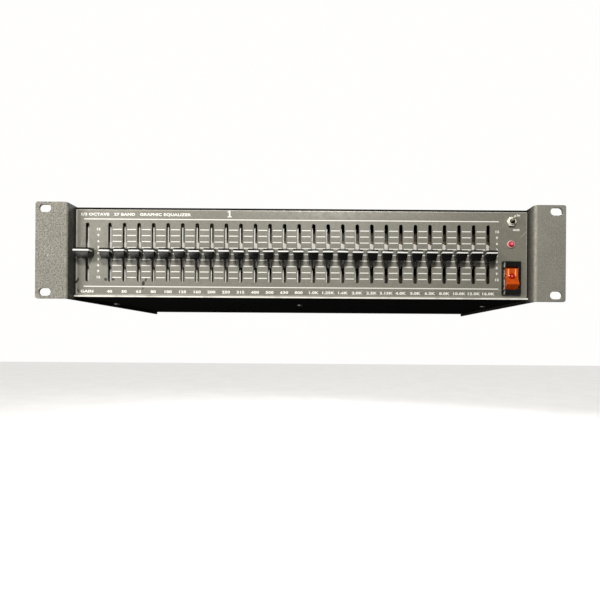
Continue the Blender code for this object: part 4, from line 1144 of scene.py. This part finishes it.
def power_board():
    """The power supply board on its posts, with two large capacitors and three regulators."""
    node = "power_supply_board"
    low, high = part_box(node)
    under = 13.0 * MM
    top = under + 1.6 * MM
    board, posts = box((low.x, low.y, under), (high.x, high.y, top)), bmesh.new()
    for x in (low.x + 5 * MM, high.x - 5 * MM):
        for y in (low.y + 5 * MM, high.y - 5 * MM):
            rod((x, y, low.z), (x, y, under), 2.5 * MM, 6, posts)
    piece("power_board_base", board, GREEN_BOARD, edge=0.15, stands_for=[node])
    piece("power_board_posts", posts, NICKEL, edge=0.1)
    cans, plates = bmesh.new(), bmesh.new()
    for dx in (12, 30):
        x, y = low.x + dx * MM, low.y + 26 * MM
        rod((x, y, top), (x, y, high.z), 8 * MM, 40, cans)
    for dx in (48, 64, 80):
        x, y = low.x + dx * MM, low.y + 38 * MM
        box((x, y, top), (x + 10 * MM, y + 5 * MM, under + 20 * MM), plates)
    piece("power_capacitors", cans, CAN_BLUE, edge=0.8, segments=3)
    piece("power_regulators", plates, BAKELITE, edge=0.3)


def transformer():
    """A stack of laminations held by a strap, with a taped winding."""
    node = "power_transformer"
    low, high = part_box(node)
    x, y, base = (low.x + high.x) / 2, (low.y + high.y) / 2, low.z
    stack = bmesh.new()
    for i in range(13):
        at, inset = y + (2 * i - 13) * MM, (0.25 * MM if i % 2 else 0.0)
        reach = 30 * MM - inset
        box((x - reach, at, base + 2 * MM + inset), (x + reach, at + 2 * MM, high.z - inset), stack)
    piece("transformer_core", stack, IRON, edge=0.2, stands_for=[node])
    coil = box((x - 18 * MM, low.y, base + 11 * MM), (x + 18 * MM, high.y, base + 42 * MM))
    bevel(coil, coil.edges[:], 4 * MM, 5)
    piece("transformer_winding", coil, TAPE)
    foot = box((low.x, y - 12 * MM, base), (high.x, y + 12 * MM, base + 2 * MM))
    piece("transformer_strap", foot, STEEL, edge=0.4)


# ---------------------------------------------------------------- stage

FLOOR_Z = -0.35
FLOOR_REACH = 6.0
WARM = (1.0, 0.98, 0.94)


def floor_sheet():
    """A pale sheet below that sends no light back up to the object."""
    paper = Finish("pale_floor", roughness=0.7)
    paper.colour(mottled(paper, (0.86, 0.855, 0.84), 0.02, 6.0))
    bm = bmesh.new()
    corners = ((-1, -1), (1, -1), (1, 1), (-1, 1))
    bm.faces.new([bm.verts.new((x * FLOOR_REACH, y * FLOOR_REACH, FLOOR_Z)) for x, y in corners])
    obj = linked("floor", mesh_of(bm, "floor"))
    obj.data.materials.append(paper.material)
    obj.visible_diffuse = False
    obj.visible_glossy = False
    return obj


def lamp_at(name, light, at, target, colour):
    light.color = colour
    turn = (Vector(target) - Vector(at)).to_track_quat("-Z", "Y").to_matrix().to_4x4()
    return linked(name, light, Matrix.Translation(at) @ turn)


def softbox(name, at, target, size, power, colour=(1.0, 1.0, 1.0)):
    light = bpy.data.lights.new(name, "AREA")
    light.shape = "RECTANGLE"
    light.size, light.size_y = size
    light.energy = power
    return lamp_at(name, light, at, target, colour)


def floor_light(floor):
    """An even overhead light that reaches only the floor."""
    light = bpy.data.lights.new("floor_light", "SUN")
    light.energy = 3.0
    light.angle = math.radians(40)
    obj = lamp_at("floor_light", light, (0, 0, 2), (0, 0, 0), (1.0, 0.995, 0.985))
    only = bpy.data.collections.new("floor_only")
    only.objects.link(floor)
    obj.light_linking.receiver_collection = only


def world_light(seen, cast):
    """A pale background for the camera, and a weaker even light on the object."""
    world = bpy.data.worlds.new("studio")
    world.use_nodes = True
    bpy.context.scene.world = world
    tree = world.node_tree
    background = tree.nodes["Background"]
    background.inputs["Color"].default_value = (1.0, 0.995, 0.985, 1.0)
    ray = tree.nodes.new("ShaderNodeLightPath")
    strength = tree.nodes.new("ShaderNodeMapRange")
    strength.inputs["To Min"].default_value = cast
    strength.inputs["To Max"].default_value = seen
    tree.links.new(ray.outputs["Is Camera Ray"], strength.inputs["Value"])
    tree.links.new(strength.outputs[0], background.inputs["Strength"])


def studio():
    """Soft lamps round the unit, strongest above; it hangs over the floor, as it does in a rack."""
    floor_light(floor_sheet())
    middle, left = (0.0, PANEL_Y, MID_Z), (-0.15, PANEL_Y, MID_Z)
    softbox("key", (0.03, -0.71, 0.46), middle, (0.15, 0.12), 4.7, WARM)
    softbox("left_fill", (-0.48, -0.53, 0.2), left, (0.36, 0.3), 2.0, WARM)
    low_left = (-0.14, PANEL_Y, MID_Z)
    softbox("low_fill", (-0.37, -0.49, -0.28), low_left, (0.44, 0.24), 1.0, (1.0, 0.98, 0.95))
    softbox("rear", (0.5, 1.1, 0.8), (0.0, 0.05, MID_Z), (0.7, 0.5), 14.0)
    softbox("top", (0.0, 0.3, 1.1), (0.0, 0.05, MID_Z), (0.8, 0.5), 4.0)
    world_light(1.0, 0.03)


def camera():
    made = bpy.data.cameras.new("camera")
    made.lens, made.sensor_width = 26.2, 36.0
    made.shift_x, made.shift_y = -0.0417, 0.0717
    made.clip_start, made.clip_end = 0.01, 50.0
    level = Matrix.Rotation(math.radians(90), 4, "X") @ Matrix.Rotation(math.radians(0.4), 4, "Z")
    place = Matrix.Translation((22.8 * MM, FRONT_Y - 0.397, -38.8 * MM)) @ level
    bpy.context.scene.camera = linked("camera", made, place)


camera()
case()
legends()
channel_numeral()
sliders()
slider_housings()
toggle_switch()
toggle_lever()
lamp()
switch_frame()
rocker()
jack("input_jack")
jack("output_jack")
rear_legends()
fuse()
mains_inlet()
filter_board()
power_board()
transformer()
repaint("ribbon_cable", CABLE)
repaint("mains_harness", CABLE)
studio()
bpy.context.scene.view_settings.view_transform = "Standard"
